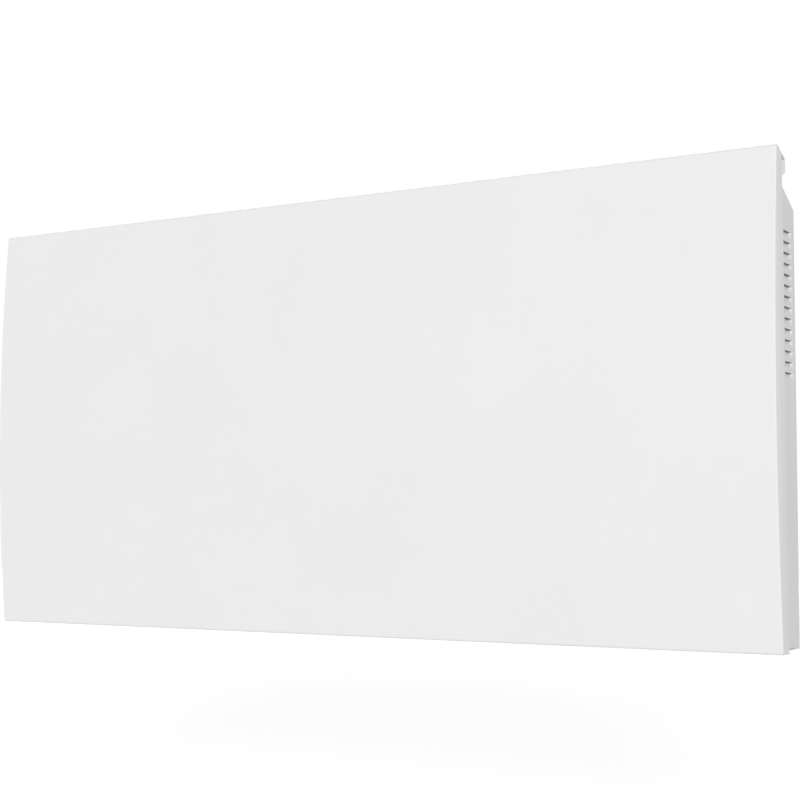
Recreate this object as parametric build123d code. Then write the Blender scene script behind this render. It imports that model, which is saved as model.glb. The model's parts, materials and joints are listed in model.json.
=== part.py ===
"""Wall panel convector heater: a bowed steel front panel on a shallow louvred body, hung on a wall bracket.

Millimetres. X runs to the heater's right as seen from the room, +Y towards the wall, +Z up.
Y = 0 is the wall's surface. Heights are counted from the front panel's bottom edge while the
pieces are built, and save() then lowers them so that the origin is the wall screw pattern's centre.
"""

from build123d import *
import math
import os

# Front panel
PANEL_WIDTH = 768.0
PANEL_HEIGHT = 370.0
PANEL_BOW = 8.3  # how far the middle stands in front of the top and bottom edges
PANEL_SHEET = 1.0
FLANGE_DEPTH = 12.0  # side flange at the top and bottom edges
TOP_BEND = 2.5  # outer bend radii
BOTTOM_BEND = 1.5
LIP_BEND = 1.6
SIDE_BEND = 0.8
RETURN_ANGLE = 26.6  # the top return falls towards the wall
RETURN_REACH = 7.1  # from the flange's rear edge back to the lip
RETURN_DROP = 8.0  # from the panel's top down to the lip's bend
LIP_HEIGHT = 11.3
LIP_CORNER = 2.4
BOTTOM_REACH = 3.8  # from the flange's rear edge back to the bottom return's edge

# Rear body
WALL_GAP = 30.0
BODY_DEPTH = 30.0  # from the body's rear to the panel flange's rear edge
BODY_SHEET = 1.0
BODY_INSET = 1.2  # body side inside the panel's side
BODY_LIFT = 2.2  # body bottom above the panel's bottom
TOP_GAP = 26.7  # the body's sloped top below the panel's top, at the flange's rear edge
BODY_TOP_ANGLE = 29.3
BODY_FORE = 8.0  # how far the side plates reach in behind the flange
REAR_FLANGE = 18.0
REAR_BEND = 1.6
END_GAP = 0.1  # between the side plates' rear bends and the long sheets
SHEET_GAP = 0.2  # between a long sheet's edge and the sheet beside it

# Side louvres
LOUVRE_COUNT = 14
LOUVRE_PITCH = 8.08
LOUVRE_DROP = 33.5  # first louvre below the body's sloped top
LOUVRE_LENGTH = 18.0
LOUVRE_HEIGHT = 3.6
LOUVRE_DEPTH = 2.3
LOUVRE_START = 4.5  # behind the flange's rear edge
TAB_LENGTH = 14.0  # base grille's end tabs, seated in notches of the side plates
TAB_START = 4.0
TAB_GAP = 0.3

# Grilles
SLOT_WIDTH = 4.5
SLOT_PITCH = 10.0
SLOT_MARGIN = 12.0
GRILLE_FLANGE = 14.0
OUTLET_SLOT = 20.0
INLET_SLOT = 18.0
OUTLET_FORE = 2.0  # outlet grille's front face in front of the flange's rear edge
OUTLET_START = 4.0  # slots behind that face
STRIP_RISE = 5.6  # hanging strip above the outlet grille's front edge
STRIP_LAP = 6.0  # how far it laps the grille's front flange
BASE_START = 1.0  # base grille behind the flange's rear edge
INLET_START = 4.5  # slots behind the base grille's front edge
INLET_CLEAR = 12.0  # no slot nearer than this to a foot, the gland or the sensor
GRILLE_BEND = 1.4
GRILLE_RIVET_INSET = 6.0  # from the free edge of a grille's flange
GRILLE_RIVET_PLACES = (-0.9, -0.3, 0.3, 0.9)  # shares of the long sheets' half length

# Wall bracket
MOUNT_DROP = 10.0  # wall screw pattern's centre below the panel's middle
MOUNT_SPACING_X = 200.0
MOUNT_SPACING_Z = 180.0
WALL_SCREW_HOLE = 5.5
BRACKET_SHEET = 1.5
BRACKET_GAP = 0.3  # between the uprights and the body's back plate
UPRIGHT_X = 150.0
UPRIGHT_WIDTH = 28.0
UPRIGHT_BELOW = 113.0  # ends of the uprights from the wall screw pattern's centre
UPRIGHT_ABOVE = 111.0
UPRIGHT_BEND = 2.1
RAIL_HEIGHT = 30.0
RAIL_LIP = 10.0
RAIL_LIP_INSET = 6.0  # ends of the rail's lips
RAIL_TAB = 18.0
RAIL_TAB_INSET = 3.0
RAIL_RIVET_STEP = 7.0  # each rivet from the rail's middle
HOOK_RISE = 65.0  # top of the hook's tongue above the pattern's centre, where the back plate rests
HOOK_WIDTH = 16.0
HOOK_TONGUE = 2.5
HOOK_TIP = 8.0
HOOK_CHAMFER = 3.0
HOOK_REACH = 4.4  # from the back plate's front face to the hook tip's front
LIFT = 11.0  # upward travel that frees the hooks
HOOK_PLAY = 1.0
STUD_DROP = 75.0  # stud below the pattern's centre
STUD_RADIUS = 3.0
STUD_HEAD_RADIUS = 5.0
STUD_HEAD = 1.5
STUD_FOOT = 1.4
STUD_PLAY = 0.35

# Heating element
ELEMENT_HEIGHT = 86.0
ELEMENT_FORE = 19.0  # axis in front of the back plate
SHEATH_RADIUS = 4.0
SHEATH_INSET = 64.0  # end of the sheath from the panel's side
SHEATH_BARE = 22.0  # end of the sheath from the fins' end
FIN_BOSS_RADIUS = 6.4
FIN_WING = 30.0
FIN_SHEET = 1.6
FIN_ANGLES = (22.0, 62.0, 118.0, 158.0, 202.0, 242.0, 298.0, 338.0)
FIN_HALF_DEPTH = 12.5
FIN_CROSS = 21.6  # cross fins above and below the axis
BUSH_RADIUS = 7.0
BUSH_FLANGE_RADIUS = 9.5
BUSH_FLANGE = 3.0
BUSH_LENGTH = 12.0
TERMINAL_RADIUS = 1.3
TERMINAL_LENGTH = 14.0
HOLDER_SHEET = 1.2  # steel of the element brackets
HOLDER_LOW = 52.0
HOLDER_HIGH = 128.0
HOLDER_FOOT = 12.0
HOLDER_GAP = 1.0  # between the bush and the fins' end
HOLDER_RIVET_INSET = 9.0
SHIELD_SHEET = 0.6
SHIELD_FORE = 34.5  # rear face in front of the back plate
SHIELD_LOW = 40.0
SHIELD_HIGH = 170.0
SHIELD_HEM = 5.0
FIT = 0.1  # radial play between seated round pieces

# Overheat cut-out
CUTOUT_X = 96.0
CUTOUT_RISE = 12.0  # above the element brackets' top
CUTOUT_RADIUS = 8.0
CUTOUT_THICK = 7.0
CUTOUT_REACH = 22.0  # reach of its angle from the back plate
CUTOUT_EDGE = 1.0  # disc behind the angle's front edge
CUTOUT_MARGIN = 2.0  # angle beyond the disc's sides
CUTOUT_FOOT = 14.0
CUTOUT_BLADE_X = 4.0  # each blade from the disc's axis
BLADE_LENGTH = 7.0
BLADE_WIDTH = 4.8
BLADE_THICK = 0.8

# Electrical bay at the right end
BAY_INSET = 41.0  # middle of the power housing and the terminal block, from the panel's side
POWER_WIDTH = 50.0
POWER_RISE = 10.0  # power housing above the harness
POWER_HEIGHT = 88.0
POWER_DEPTH = 22.0
POWER_WALL = 1.6
POWER_CORNER = 2.0
POWER_BOSS_RADIUS = 2.8
POWER_BOSS_INSET = 5.0
POWER_BOSS_SOLID = 4.0  # solid length under a boss's screw hole
POWER_SCREW_RADIUS = 1.2
POWER_SCREW_LENGTH = 9.0
POWER_SCREW_HEAD_RADIUS = 2.4
POWER_SCREW_HEAD = 1.4
POWER_PEG_RADIUS = 1.8
POWER_PEG_INSET = 9.0
POWER_PEG_HEIGHT = 14.0
POWER_RIVET_INSET = 8.0
POWER_VENTS = 7
VENT_PITCH = 6.0
VENT_LENGTH = 24.0
VENT_HEIGHT = 2.0
BOARD_THICK = 1.6
BOARD_GAP = 0.5  # around the board
BOARD_STANDOFF = 4.0
BOSS_GAP = 0.4  # between a boss and the board's notch
RELAY_WIDTH = 15.0
RELAY_HEIGHT = 26.0
RELAY_TALL = 12.0
TRANSFORMER_WIDTH = 18.0
TRANSFORMER_HEIGHT = 20.0
TRANSFORMER_TALL = 11.0
CHOKE_RADIUS = 6.0
CHOKE_TALL = 9.0
CAPACITOR_RADIUS = 5.0
CAPACITOR_TALL = 11.0
CONNECTOR_WIDTH = 22.0
CONNECTOR_HEIGHT = 10.0
CONNECTOR_TALL = 8.0
COMPONENT_GAP = 6.0  # between components, and below the lowest
COMPONENT_X = 10.0  # each column of components from the board's middle
TERMINAL_HEIGHT = 62.0
TERMINAL_WIDTH = 33.0
TERMINAL_TALL = 16.0
TERMINAL_DEPTH = 12.0
TERMINAL_CHAMFER = 1.5
POLE_PITCH = 10.0
WELL_RADIUS = 2.6
WELL_DEPTH = 4.0
WELL_SCREW_RADIUS = 2.3
WELL_SCREW_SUNK = 1.2
DRIVER_SLOT_LENGTH = 3.6
DRIVER_SLOT_WIDTH = 0.7
DRIVER_SLOT_DEPTH = 0.8
EARTH_STEP = 21.0  # earth stud from the bay's middle
EARTH_HEIGHT = 34.0
EARTH_RADIUS = 2.0
EARTH_LENGTH = 12.0
EARTH_COLLAR = 1.0
EARTH_COLLAR_RADIUS = 4.5
EARTH_LUG_SHEET = 0.8
EARTH_LUG_RADIUS = 4.2
EARTH_LUG_TAIL = 10.0
EARTH_LUG_WIDTH = 3.2
EARTH_NUT_RADIUS = 4.0
EARTH_NUT = 3.2
GLAND_Y = -48.0
GLAND_BORE = 3.6
GLAND_BODY = 6.2
GLAND_FLANGE = 8.0
GLAND_RIM = 1.8
GLAND_TALL = 12.0
GLAND_NUT_RADIUS = 8.4
GLAND_NUT = 4.0
SENSOR_STEP = 28.0  # sensor from the bay's middle
SENSOR_Y = -49.0
SENSOR_RADIUS = 2.2
SENSOR_LENGTH = 9.0
SENSOR_RISE = 5.5  # sensor axis above the base grille
SENSOR_NOSE = 1.2  # rounding of the capsule's closed end
SENSOR_FOOT = (8.0, 12.0, 1.5)  # width, depth and thickness
SENSOR_POST = (4.0, 9.0)  # depth and height
POWER_LOWER_HOLES = (-18.0, -12.0, 0.0, 12.0, 18.0)  # wire holes, from the housing's middle
POWER_UPPER_HOLES = (-12.0, 0.0, 8.0)
WIRE_RADIUS = 1.1
WIRE_HOLE = 1.5
WIRE_STANDOFF = 6.0  # wire axis in front of the back plate
WIRE_GAP = 0.05  # between a wire's end and what it meets
SNUG_BEND = 5.0  # bend radii of the wires
EASY_BEND = 8.0
LEAD_BEND = 16.0
LEAN_BEND = 20.0
WIDE_BEND = 40.0
PIN_WIRE_SHARE = 0.7  # where a wire meets the element's terminal, of its length
LEAN_HIGH_SHARE = 0.75  # the wires lean forward to the element between these shares of their drop
LEAN_LOW_SHARE = 0.35
DROP_LEAD = 5.0  # straight run of a wire below the control unit
DROP_BEND_SHARE = 0.7  # shares of the drop from the control unit to the power housing
DROP_ENTRY_SHARE = 0.18
LEAD_SHIFT_LOW = 30.0  # the sensor's lead steps sideways between these depths below the power housing
LEAD_SHIFT_HIGH = 12.0
HARNESS_RISE = 18.0  # above the cut-out's blades
BLADE_RUN = 8.0  # straight run of a wire above its blade
WIRE_CLIP_PITCH = 80.0  # least distance between the harness clips
WIRE_CLIP_LENGTH = 6.0
WIRE_CLIP_HALF = 2.4
LEAD_CLIP_RISE = 50.0  # lower clip above the sensor
LEAD_CLIP_DROP = 42.0  # upper clip below the power housing

# Control unit in the panel's top return
CONTROL_INSET = 84.0  # bezel's middle from the panel's side
BEZEL_LENGTH = 110.0
BEZEL_WIDTH = 15.0
BEZEL_THICK = 1.4
BEZEL_CORNER = 2.0
BEZEL_EDGE = 0.5
BEZEL_SKIRT = 3.0
SKIRT_GAP = 0.2  # between the skirt and the panel's opening
OPENING_LENGTH = 104.0
OPENING_WIDTH = 12.4
CONTROL_WALL = 1.0
CONTROL_BOSS_RADIUS = 2.2
CONTROL_BOSS_INSET = 3.5
CONTROL_SCREW_RADIUS = 0.9
CONTROL_SCREW_HEAD_RADIUS = 1.8
CONTROL_SCREW_HEAD = 1.2
CONTROL_SCREW_END = 0.6  # below the panel's surface
HOUSING_DEPTH = 8.0
HOUSING_INSET = 2.0  # left end inside the panel's opening
HOUSING_GAP = 1.0  # between the housing and the switch's body
BUTTON_LENGTH = 7.0
BUTTON_WIDTH = 6.0
BUTTON_RISE = 0.8
BUTTON_FLANGE = 0.8
BUTTON_RIM = 0.8  # flange beyond the cap
BUTTON_CORNER = 1.2
BUTTON_EDGE = 0.4
BUTTON_STEM_RADIUS = 1.3
BUTTON_GAP = 0.2
KEY_GAP = 0.1  # between a key's flange and the bezel
BUTTON_TRAVEL = 0.6
KEY_START = 11.0  # first key from the housing's left end
KEY_PITCH = 9.0
MODE_KEY_END = 19.0  # last key from the housing's right end
DISPLAY_LENGTH = 32.0
DISPLAY_WIDTH = 9.0
DISPLAY_MARGIN = 1.5  # lens beyond the display at each end
LENS_GAP = 0.15
LENS_SUNK = 0.1
KEY_SWITCH = 5.0
KEY_SWITCH_TALL = 1.5
CONTROL_BOARD_DEPTH = 5.2  # from the panel's surface to the board's upper face
CONTROL_BOARD_INSET = 7.0  # board inside the housing's ends
CONTROL_RIB = 1.2
CONTROL_RIB_INSET = 9.0
CABLE_INSET = 12.0
CLIP_LENGTH = 5.0
CLIP_WIDTH = 8.0
CLIP_SHEET = 0.5
ROCKER_END = 9.0  # rocker's middle from the opening's right end
ROCKER_LENGTH = 12.0
ROCKER_WIDTH = 8.0
ROCKER_SWING = 10.0  # each side of level
ROCKER_PIVOT_DEPTH = 1.6
ROCKER_PIN_RADIUS = 0.8
ROCKER_PIN_PLAY = 0.06
ROCKER_BODY_DEPTH = 10.0
ROCKER_BODY_LENGTH = 16.0
ROCKER_BODY_WIDTH = 10.8
ROCKER_BODY_GAP = 0.1
ROCKER_RIM = 1.0  # rim beyond the body's sides
ROCKER_RIM_TALL = 0.7
ROCKER_CAVITY_PLAY = 0.9  # at the rocker's ends
ROCKER_SIDE_PLAY = 0.3
ROCKER_FLOOR = 1.2
ROCKER_CREST = 3.6  # rocker's ends above its pivot
ROCKER_VALLEY = 2.6
ROCKER_KEEL = 2.6  # rocker's underside below its pivot
ROCKER_TAPER = 1.4
ROCKER_EDGE = 0.6
ROCKER_PIN_REACH = 0.8  # beyond the rocker's sides
ROCKER_BLADE_X = 4.5
ROCKER_BLADE_LENGTH = 4.5

# Panel fixings
HANGER_X = 205.0
HANGER_WIDTH = 30.0
HANGER_SHEET = 1.2
HANGER_BEND = 1.5
HANGER_DROP = 16.0
FOOT_REACH = 14.0
FOOT_STEP = 1.5  # start of the foot's step in front of the flange's rear edge
SCREW_RADIUS = 2.0
SCREW_HEAD_RADIUS = 3.5
SCREW_HEAD = 1.6
SCREW_END = 4.0  # thread above the foot
RIVET_RADIUS = 1.6
RIVET_HEAD_RADIUS = 3.0
RIVET_HEAD = 0.9
BODY_RIVET_INSET = 9.0  # from the grilles' flanges
OVER = 1.0  # how far a cutter passes the faces that it cuts
THROUGH = 20.0  # length of a cutter that goes right through
NEAR = 0.01  # how near counts as the same place

# Places worked out from the sizes above
BODY_TOP = PANEL_HEIGHT - TOP_GAP
LOUVRE_TOP = BODY_TOP - LOUVRE_DROP
MOUNT_CENTRE = PANEL_HEIGHT / 2 - MOUNT_DROP
HOOK_HEIGHT = MOUNT_CENTRE + HOOK_RISE
STUD_HEIGHT = MOUNT_CENTRE - STUD_DROP
SHEATH_LENGTH = PANEL_WIDTH - 2 * SHEATH_INSET
FIN_LENGTH = SHEATH_LENGTH - 2 * SHEATH_BARE
CUTOUT_HEIGHT = HOLDER_HIGH + CUTOUT_RISE
BLADE_TOP = CUTOUT_HEIGHT + CUTOUT_THICK + BLADE_LENGTH
HARNESS_HEIGHT = BLADE_TOP + HARNESS_RISE
POWER_LOW = HARNESS_HEIGHT + POWER_RISE
BAY_X = PANEL_WIDTH / 2 - BAY_INSET
SENSOR_X = BAY_X + SENSOR_STEP
EARTH_X = BAY_X - EARTH_STEP
CONTROL_X = PANEL_WIDTH / 2 - CONTROL_INSET
ROCKER_PLACE = OPENING_LENGTH / 2 - ROCKER_END
HOUSING_LOW = HOUSING_INSET - OPENING_LENGTH / 2
HOUSING_HIGH = ROCKER_PLACE - ROCKER_BODY_LENGTH / 2 - HOUSING_GAP
HOUSING_LENGTH = HOUSING_HIGH - HOUSING_LOW
HOUSING_MIDDLE = (HOUSING_LOW + HOUSING_HIGH) / 2
BUTTON_PLACES = {
    "button_minus": HOUSING_LOW + KEY_START,
    "button_plus": HOUSING_LOW + KEY_START + KEY_PITCH,
    "button_mode": HOUSING_HIGH - MODE_KEY_END,
}
BODY_REAR = -WALL_GAP
FLANGE_REAR = BODY_REAR - BODY_DEPTH
PANEL_EDGE = FLANGE_REAR - FLANGE_DEPTH
PANEL_CREST = PANEL_EDGE - PANEL_BOW
BOW_RADIUS = (PANEL_HEIGHT**2 / 4 + PANEL_BOW**2) / (2 * PANEL_BOW)
LIP_Y = FLANGE_REAR + RETURN_REACH
LIP_TOP = PANEL_HEIGHT - RETURN_DROP
SIDE_X = PANEL_WIDTH / 2 - BODY_INSET
LONG_X = SIDE_X - REAR_BEND - END_GAP
BACK_REAR = BODY_REAR - BODY_SHEET
BACK_FRONT = BACK_REAR - BODY_SHEET
BODY_FLOOR = BODY_LIFT + BODY_SHEET
ELEMENT_Y = BACK_FRONT - ELEMENT_FORE
SHIELD_REAR = BACK_FRONT - SHIELD_FORE
HOLDER_X = FIN_LENGTH / 2 + HOLDER_GAP + BUSH_FLANGE + HOLDER_SHEET / 2
UPRIGHT_FRONT = BACK_REAR + BRACKET_GAP
TANGENT = math.tan(math.radians(BODY_TOP_ANGLE))


def bow(height):
    """Outer Y of the front panel at a height."""
    rise = height - PANEL_HEIGHT / 2
    return PANEL_CREST + BOW_RADIUS - math.sqrt(BOW_RADIUS**2 - rise**2)


def body_top(y):
    """Height of the rear body's sloped top at Y."""
    return BODY_TOP - (y - FLANGE_REAR) * TANGENT


def box(x0, x1, y0, y1, z0, z1):
    """A block between two corners."""
    block = Box(x1 - x0, y1 - y0, z1 - z0, align=(Align.MIN, Align.MIN, Align.MIN))
    return Pos(x0, y0, z0) * block


def prism_x(points, x0, x1):
    """A (Y, Z) polygon pushed along X."""
    face = make_face(Polyline(*points, close=True))
    return Pos(x0, 0, 0) * extrude(Plane.YZ * face, amount=x1 - x0)


def prism_y(points, y0, y1):
    """An (X, Z) polygon pushed along Y."""
    plane = Plane(origin=(0, y0, 0), x_dir=(1, 0, 0), z_dir=(0, -1, 0))
    return extrude(plane * make_face(Polyline(*points, close=True)), amount=y0 - y1)


def rod(radius, start, end):
    """A round bar from one point to another."""
    start = Vector(*start)
    run = Vector(*end) - start
    plane = Plane(origin=start, z_dir=run)
    return extrude(plane * Circle(radius), amount=run.length)


def folded_sheet(points, sheet, bend, x0, x1):
    """A sheet folded along a (Y, Z) line, its thickness to the right of the line's direction."""
    line = FilletPolyline(*points, radius=bend)
    edge = offset(line, amount=sheet, side=Side.RIGHT, closed=True)
    return Pos(x0, 0, 0) * extrude(Plane.YZ * make_face(edge), amount=x1 - x0)


def both_sides(shape):
    """A shape and its mirror image about the heater's middle."""
    return [shape, mirror(shape, about=Plane.YZ)]


def group(shapes):
    """Several solids in one node."""
    return Compound(children=[s for shape in shapes for s in shape.solids()])


def rivet(x, z, front, rear):
    """A rivet along Y with a head on each side of the sheets that it holds."""
    shank = rod(RIVET_RADIUS, (x, front, z), (x, rear, z))
    head = rod(RIVET_HEAD_RADIUS, (x, front - RIVET_HEAD, z), (x, front, z))
    tail = rod(RIVET_HEAD_RADIUS, (x, rear, z), (x, rear + RIVET_HEAD, z))
    return shank + head + tail


def rivet_hole(x, z, front, rear):
    """The hole of a rivet along Y."""
    return rod(RIVET_RADIUS + FIT, (x, front - OVER, z), (x, rear + OVER, z))


def slot_row(x_limit, keep_clear, spans):
    """The X of each grille slot, leaving out those near the given places."""
    count = int((x_limit - SLOT_MARGIN) // SLOT_PITCH)
    places = [n * SLOT_PITCH for n in range(-count, count + 1)]
    return [x for x in places if all(abs(x - c) > spans for c in keep_clear)]


# ---------------------------------------------------------------- front panel


def panel_outline():
    """The panel's outer line in (Y, Z), from the bottom return's edge round to the lip's edge."""
    slope = math.tan(math.radians(RETURN_ANGLE))
    edge = bow(LIP_TOP + (LIP_Y - PANEL_EDGE) * slope)
    bottom = (bow(0), 0)
    top = (edge, LIP_TOP + (LIP_Y - edge) * slope)
    front = ThreePointArc(bottom, (bow(PANEL_HEIGHT / 2), PANEL_HEIGHT / 2), top)
    below = Polyline((FLANGE_REAR + BOTTOM_REACH, 0), bottom)
    above = Polyline(top, (LIP_Y, LIP_TOP), (LIP_Y, LIP_TOP - LIP_HEIGHT))
    line = Wire((below + front + above).edges())
    for place, bend in ((bottom, BOTTOM_BEND), (top, TOP_BEND), ((LIP_Y, LIP_TOP), LIP_BEND)):
        corners = [v for v in line.vertices() if abs(v.X - place[0]) + abs(v.Y - place[1]) < NEAR]
        line = line.fillet_2d(bend, corners)
    return line


def front_panel():
    """Bowed front with side flanges, bottom return, top return and lip, and the control's cut-out."""
    outline = panel_outline()
    band = make_face(outline.offset_2d(PANEL_SHEET, side=Side.RIGHT))
    half = PANEL_WIDTH / 2
    panel = Pos(-half, 0, 0) * extrude(Plane.YZ * band, amount=PANEL_WIDTH)
    ends = outline @ 0, outline @ 1
    closed = make_face(outline.edges() + [Line(ends[1], ends[0]).edge()])
    flange = Pos(half - PANEL_SHEET, 0, 0) * extrude(Plane.YZ * closed, amount=PANEL_SHEET)
    flange -= box(0, PANEL_WIDTH, FLANGE_REAR, 0, -OVER, PANEL_HEIGHT + OVER)
    for side in both_sides(flange):
        panel += side
    panel = soften_panel(panel)
    cut = control_plane() * Box(OPENING_LENGTH, OPENING_WIDTH, 4 * PANEL_SHEET)
    return panel - cut


def soften_panel(panel):
    """Bend radii along the front's two upright edges, and the lip's rounded lower corners."""
    half = PANEL_WIDTH / 2
    long_edges = [e for e in panel.edges() if e.length > PANEL_HEIGHT / 2 and e.geom_type == GeomType.CIRCLE]
    upright = [e for e in long_edges if abs(abs(e.center().X) - half) < NEAR]
    panel = fillet(upright, SIDE_BEND)
    low = LIP_TOP - LIP_HEIGHT
    corner = ((half, low), (half - LIP_CORNER, low), (half, low + LIP_CORNER))
    tip = prism_y(corner, FLANGE_REAR + OVER, LIP_Y + OVER)
    for side in both_sides(tip):
        panel -= side
    return panel


def inner_face(height):
    """Y of the front panel's inner face at a height."""
    return bow(height) + PANEL_SHEET


def panel_hanger():
    """Right hanger: welded behind the panel's top, hooked over the hanging strip."""
    top = strip_top() + HANGER_SHEET + FIT
    hook = FLANGE_REAR - OUTLET_FORE + BODY_SHEET + 2 * HANGER_SHEET
    points = (
        (inner_face(top - HANGER_DROP) + FIT, top - HANGER_DROP),
        (inner_face(top) + FIT, top),
        (hook, top),
        (hook, top - STRIP_RISE),
    )
    x0 = HANGER_X - HANGER_WIDTH / 2
    return folded_sheet(points, HANGER_SHEET, HANGER_BEND, x0, x0 + HANGER_WIDTH)


def panel_foot():
    """Right foot: on the panel's bottom return, stepped up over the base grille."""
    front = bow(0) + 2 * PANEL_SHEET
    step = FLANGE_REAR - FOOT_STEP
    points = (
        (front, PANEL_SHEET),
        (step, PANEL_SHEET),
        (step + BODY_FLOOR - PANEL_SHEET, BODY_FLOOR),
        (step + BODY_FLOOR - PANEL_SHEET + FOOT_REACH, BODY_FLOOR),
    )
    x0 = HANGER_X - HANGER_WIDTH / 2
    line = Polyline(*points)
    edge = offset(line, amount=HANGER_SHEET, side=Side.LEFT, closed=True)
    foot = Pos(x0, 0, 0) * extrude(Plane.YZ * make_face(edge), amount=HANGER_WIDTH)
    return foot - floor_hole(SCREW_RADIUS + FIT, HANGER_X, foot_screw_y())


def floor_hole(radius, x, y):
    """A round hole up through the sheets at the heater's bottom."""
    return rod(radius, (x, y, 0), (x, y, THROUGH))


def foot_screw_y():
    """Y of the screws that hold the panel's feet."""
    return FLANGE_REAR - FOOT_STEP + BODY_FLOOR - PANEL_SHEET + FOOT_REACH / 2


def panel_screws():
    """Two screws, up through the base grille into the panel's feet."""
    y = foot_screw_y()
    head = rod(SCREW_HEAD_RADIUS, (HANGER_X, y, BODY_LIFT - SCREW_HEAD), (HANGER_X, y, BODY_LIFT))
    shank = rod(SCREW_RADIUS, (HANGER_X, y, BODY_LIFT), (HANGER_X, y, BODY_FLOOR + HANGER_SHEET + SCREW_END))
    return group(both_sides(head + shank))


# ---------------------------------------------------------------- rear body


def side_plate():
    """Right side plate: sloped top, rear flange, louvres, notch for the base grille's tab."""
    fore = FLANGE_REAR - BODY_FORE
    points = ((SIDE_X, fore), (SIDE_X, BODY_REAR), (SIDE_X - REAR_FLANGE, BODY_REAR))
    line = FilletPolyline(*points, radius=REAR_BEND)
    plan = make_face(offset(line, amount=BODY_SHEET, side=Side.LEFT, closed=True))
    plate = Pos(0, 0, BODY_LIFT) * extrude(plan, amount=body_top(fore) - BODY_LIFT)
    start = fore - OVER
    above = ((start, body_top(start)), (0, body_top(0)), (0, PANEL_HEIGHT), (start, PANEL_HEIGHT))
    plate -= prism_x(above, SIDE_X - 2 * REAR_FLANGE, SIDE_X + OVER)
    for index in range(LOUVRE_COUNT):
        pressed, cavity = louvre(LOUVRE_TOP - index * LOUVRE_PITCH)
        plate = plate + pressed - cavity
    tab = box(SIDE_X - REAR_FLANGE, SIDE_X + OVER, *tab_span(TAB_GAP), 0, BODY_FLOOR + TAB_GAP)
    plate -= tab
    for z in rivet_heights():
        plate -= rivet_hole(rivet_x(), z, BACK_FRONT, BODY_REAR)
    return plate


def louvre(top):
    """The inward bulge of one louvre, and the wedge-shaped recess that is pressed into it."""
    y0 = FLANGE_REAR + LOUVRE_START
    inner = SIDE_X - LOUVRE_DEPTH
    steep = LOUVRE_HEIGHT / LOUVRE_DEPTH
    grown = BODY_SHEET * math.hypot(1, steep)
    half_sheet = SIDE_X - BODY_SHEET / 2
    bulge = ((half_sheet, top), (inner - grown / steep, top), (half_sheet, top - LOUVRE_HEIGHT - grown / 2))
    low = top - LOUVRE_HEIGHT
    recess = ((SIDE_X + OVER, top), (inner, top), (SIDE_X, low), (SIDE_X + OVER, low))
    pressed = prism_y(bulge, y0 - BODY_SHEET, y0 + LOUVRE_LENGTH + BODY_SHEET)
    return pressed, prism_y(recess, y0, y0 + LOUVRE_LENGTH)


def tab_span(play):
    """Y range of the base grille's end tabs."""
    return FLANGE_REAR + TAB_START - play, FLANGE_REAR + TAB_START + TAB_LENGTH + play


def rivet_x():
    """X of the rivets through the side plates' rear flanges."""
    return SIDE_X - REAR_FLANGE / 2


def rivet_heights():
    """Heights of those rivets, on the back plate and clear of both grilles' flanges."""
    low = BODY_FLOOR + GRILLE_FLANGE + BODY_RIVET_INSET
    high = body_top(BACK_FRONT) - GRILLE_FLANGE - BODY_RIVET_INSET
    return [low, (2 * low + high) / 3, (low + 2 * high) / 3, high]


def back_plate():
    """Flat back with hook slots, stud holes and rivet holes."""
    high = body_top(BACK_REAR) - SHEET_GAP
    plate = box(-LONG_X, LONG_X, BACK_FRONT, BACK_REAR, BODY_LIFT + SHEET_GAP, high)
    for x in (-UPRIGHT_X, UPRIGHT_X):
        low = HOOK_HEIGHT - HOOK_TONGUE - LIFT - HOOK_PLAY
        width = HOOK_WIDTH / 2 + HOOK_PLAY
        plate -= box(x - width, x + width, BACK_FRONT - OVER, BACK_REAR + OVER, low, HOOK_HEIGHT)
        start, end = (x, BACK_FRONT - OVER, STUD_HEIGHT), (x, BACK_REAR + OVER, STUD_HEIGHT)
        plate -= rod(STUD_RADIUS + FIT, start, end)
    for x in (-rivet_x(), rivet_x()):
        for z in rivet_heights():
            plate -= rivet_hole(x, z, BACK_FRONT, BODY_REAR)
    for x, z in grille_rivets():
        plate -= rivet_hole(x, z, BACK_FRONT - BODY_SHEET, BACK_REAR)
    for x, z in holder_rivets() + power_feet():
        plate -= rivet_hole(x, z, BACK_FRONT - HOLDER_SHEET, BACK_REAR)
    return plate


def grille_rivets():
    """Rivets that hold both grilles' flanges to the back plate."""
    low = BODY_FLOOR + GRILLE_FLANGE - GRILLE_RIVET_INSET
    high = body_top(BACK_FRONT) - GRILLE_FLANGE + GRILLE_RIVET_INSET
    return [(share * LONG_X, z) for z in (low, high) for share in GRILLE_RIVET_PLACES]


def body_rivets():
    """Every rivet of the rear body's sheets."""
    rivets = []
    for z in rivet_heights():
        rivets += both_sides(rivet(rivet_x(), z, BACK_FRONT, BODY_REAR))
    for x, z in grille_rivets():
        rivets.append(rivet(x, z, BACK_FRONT - BODY_SHEET, BACK_REAR))
    return group(rivets)


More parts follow.
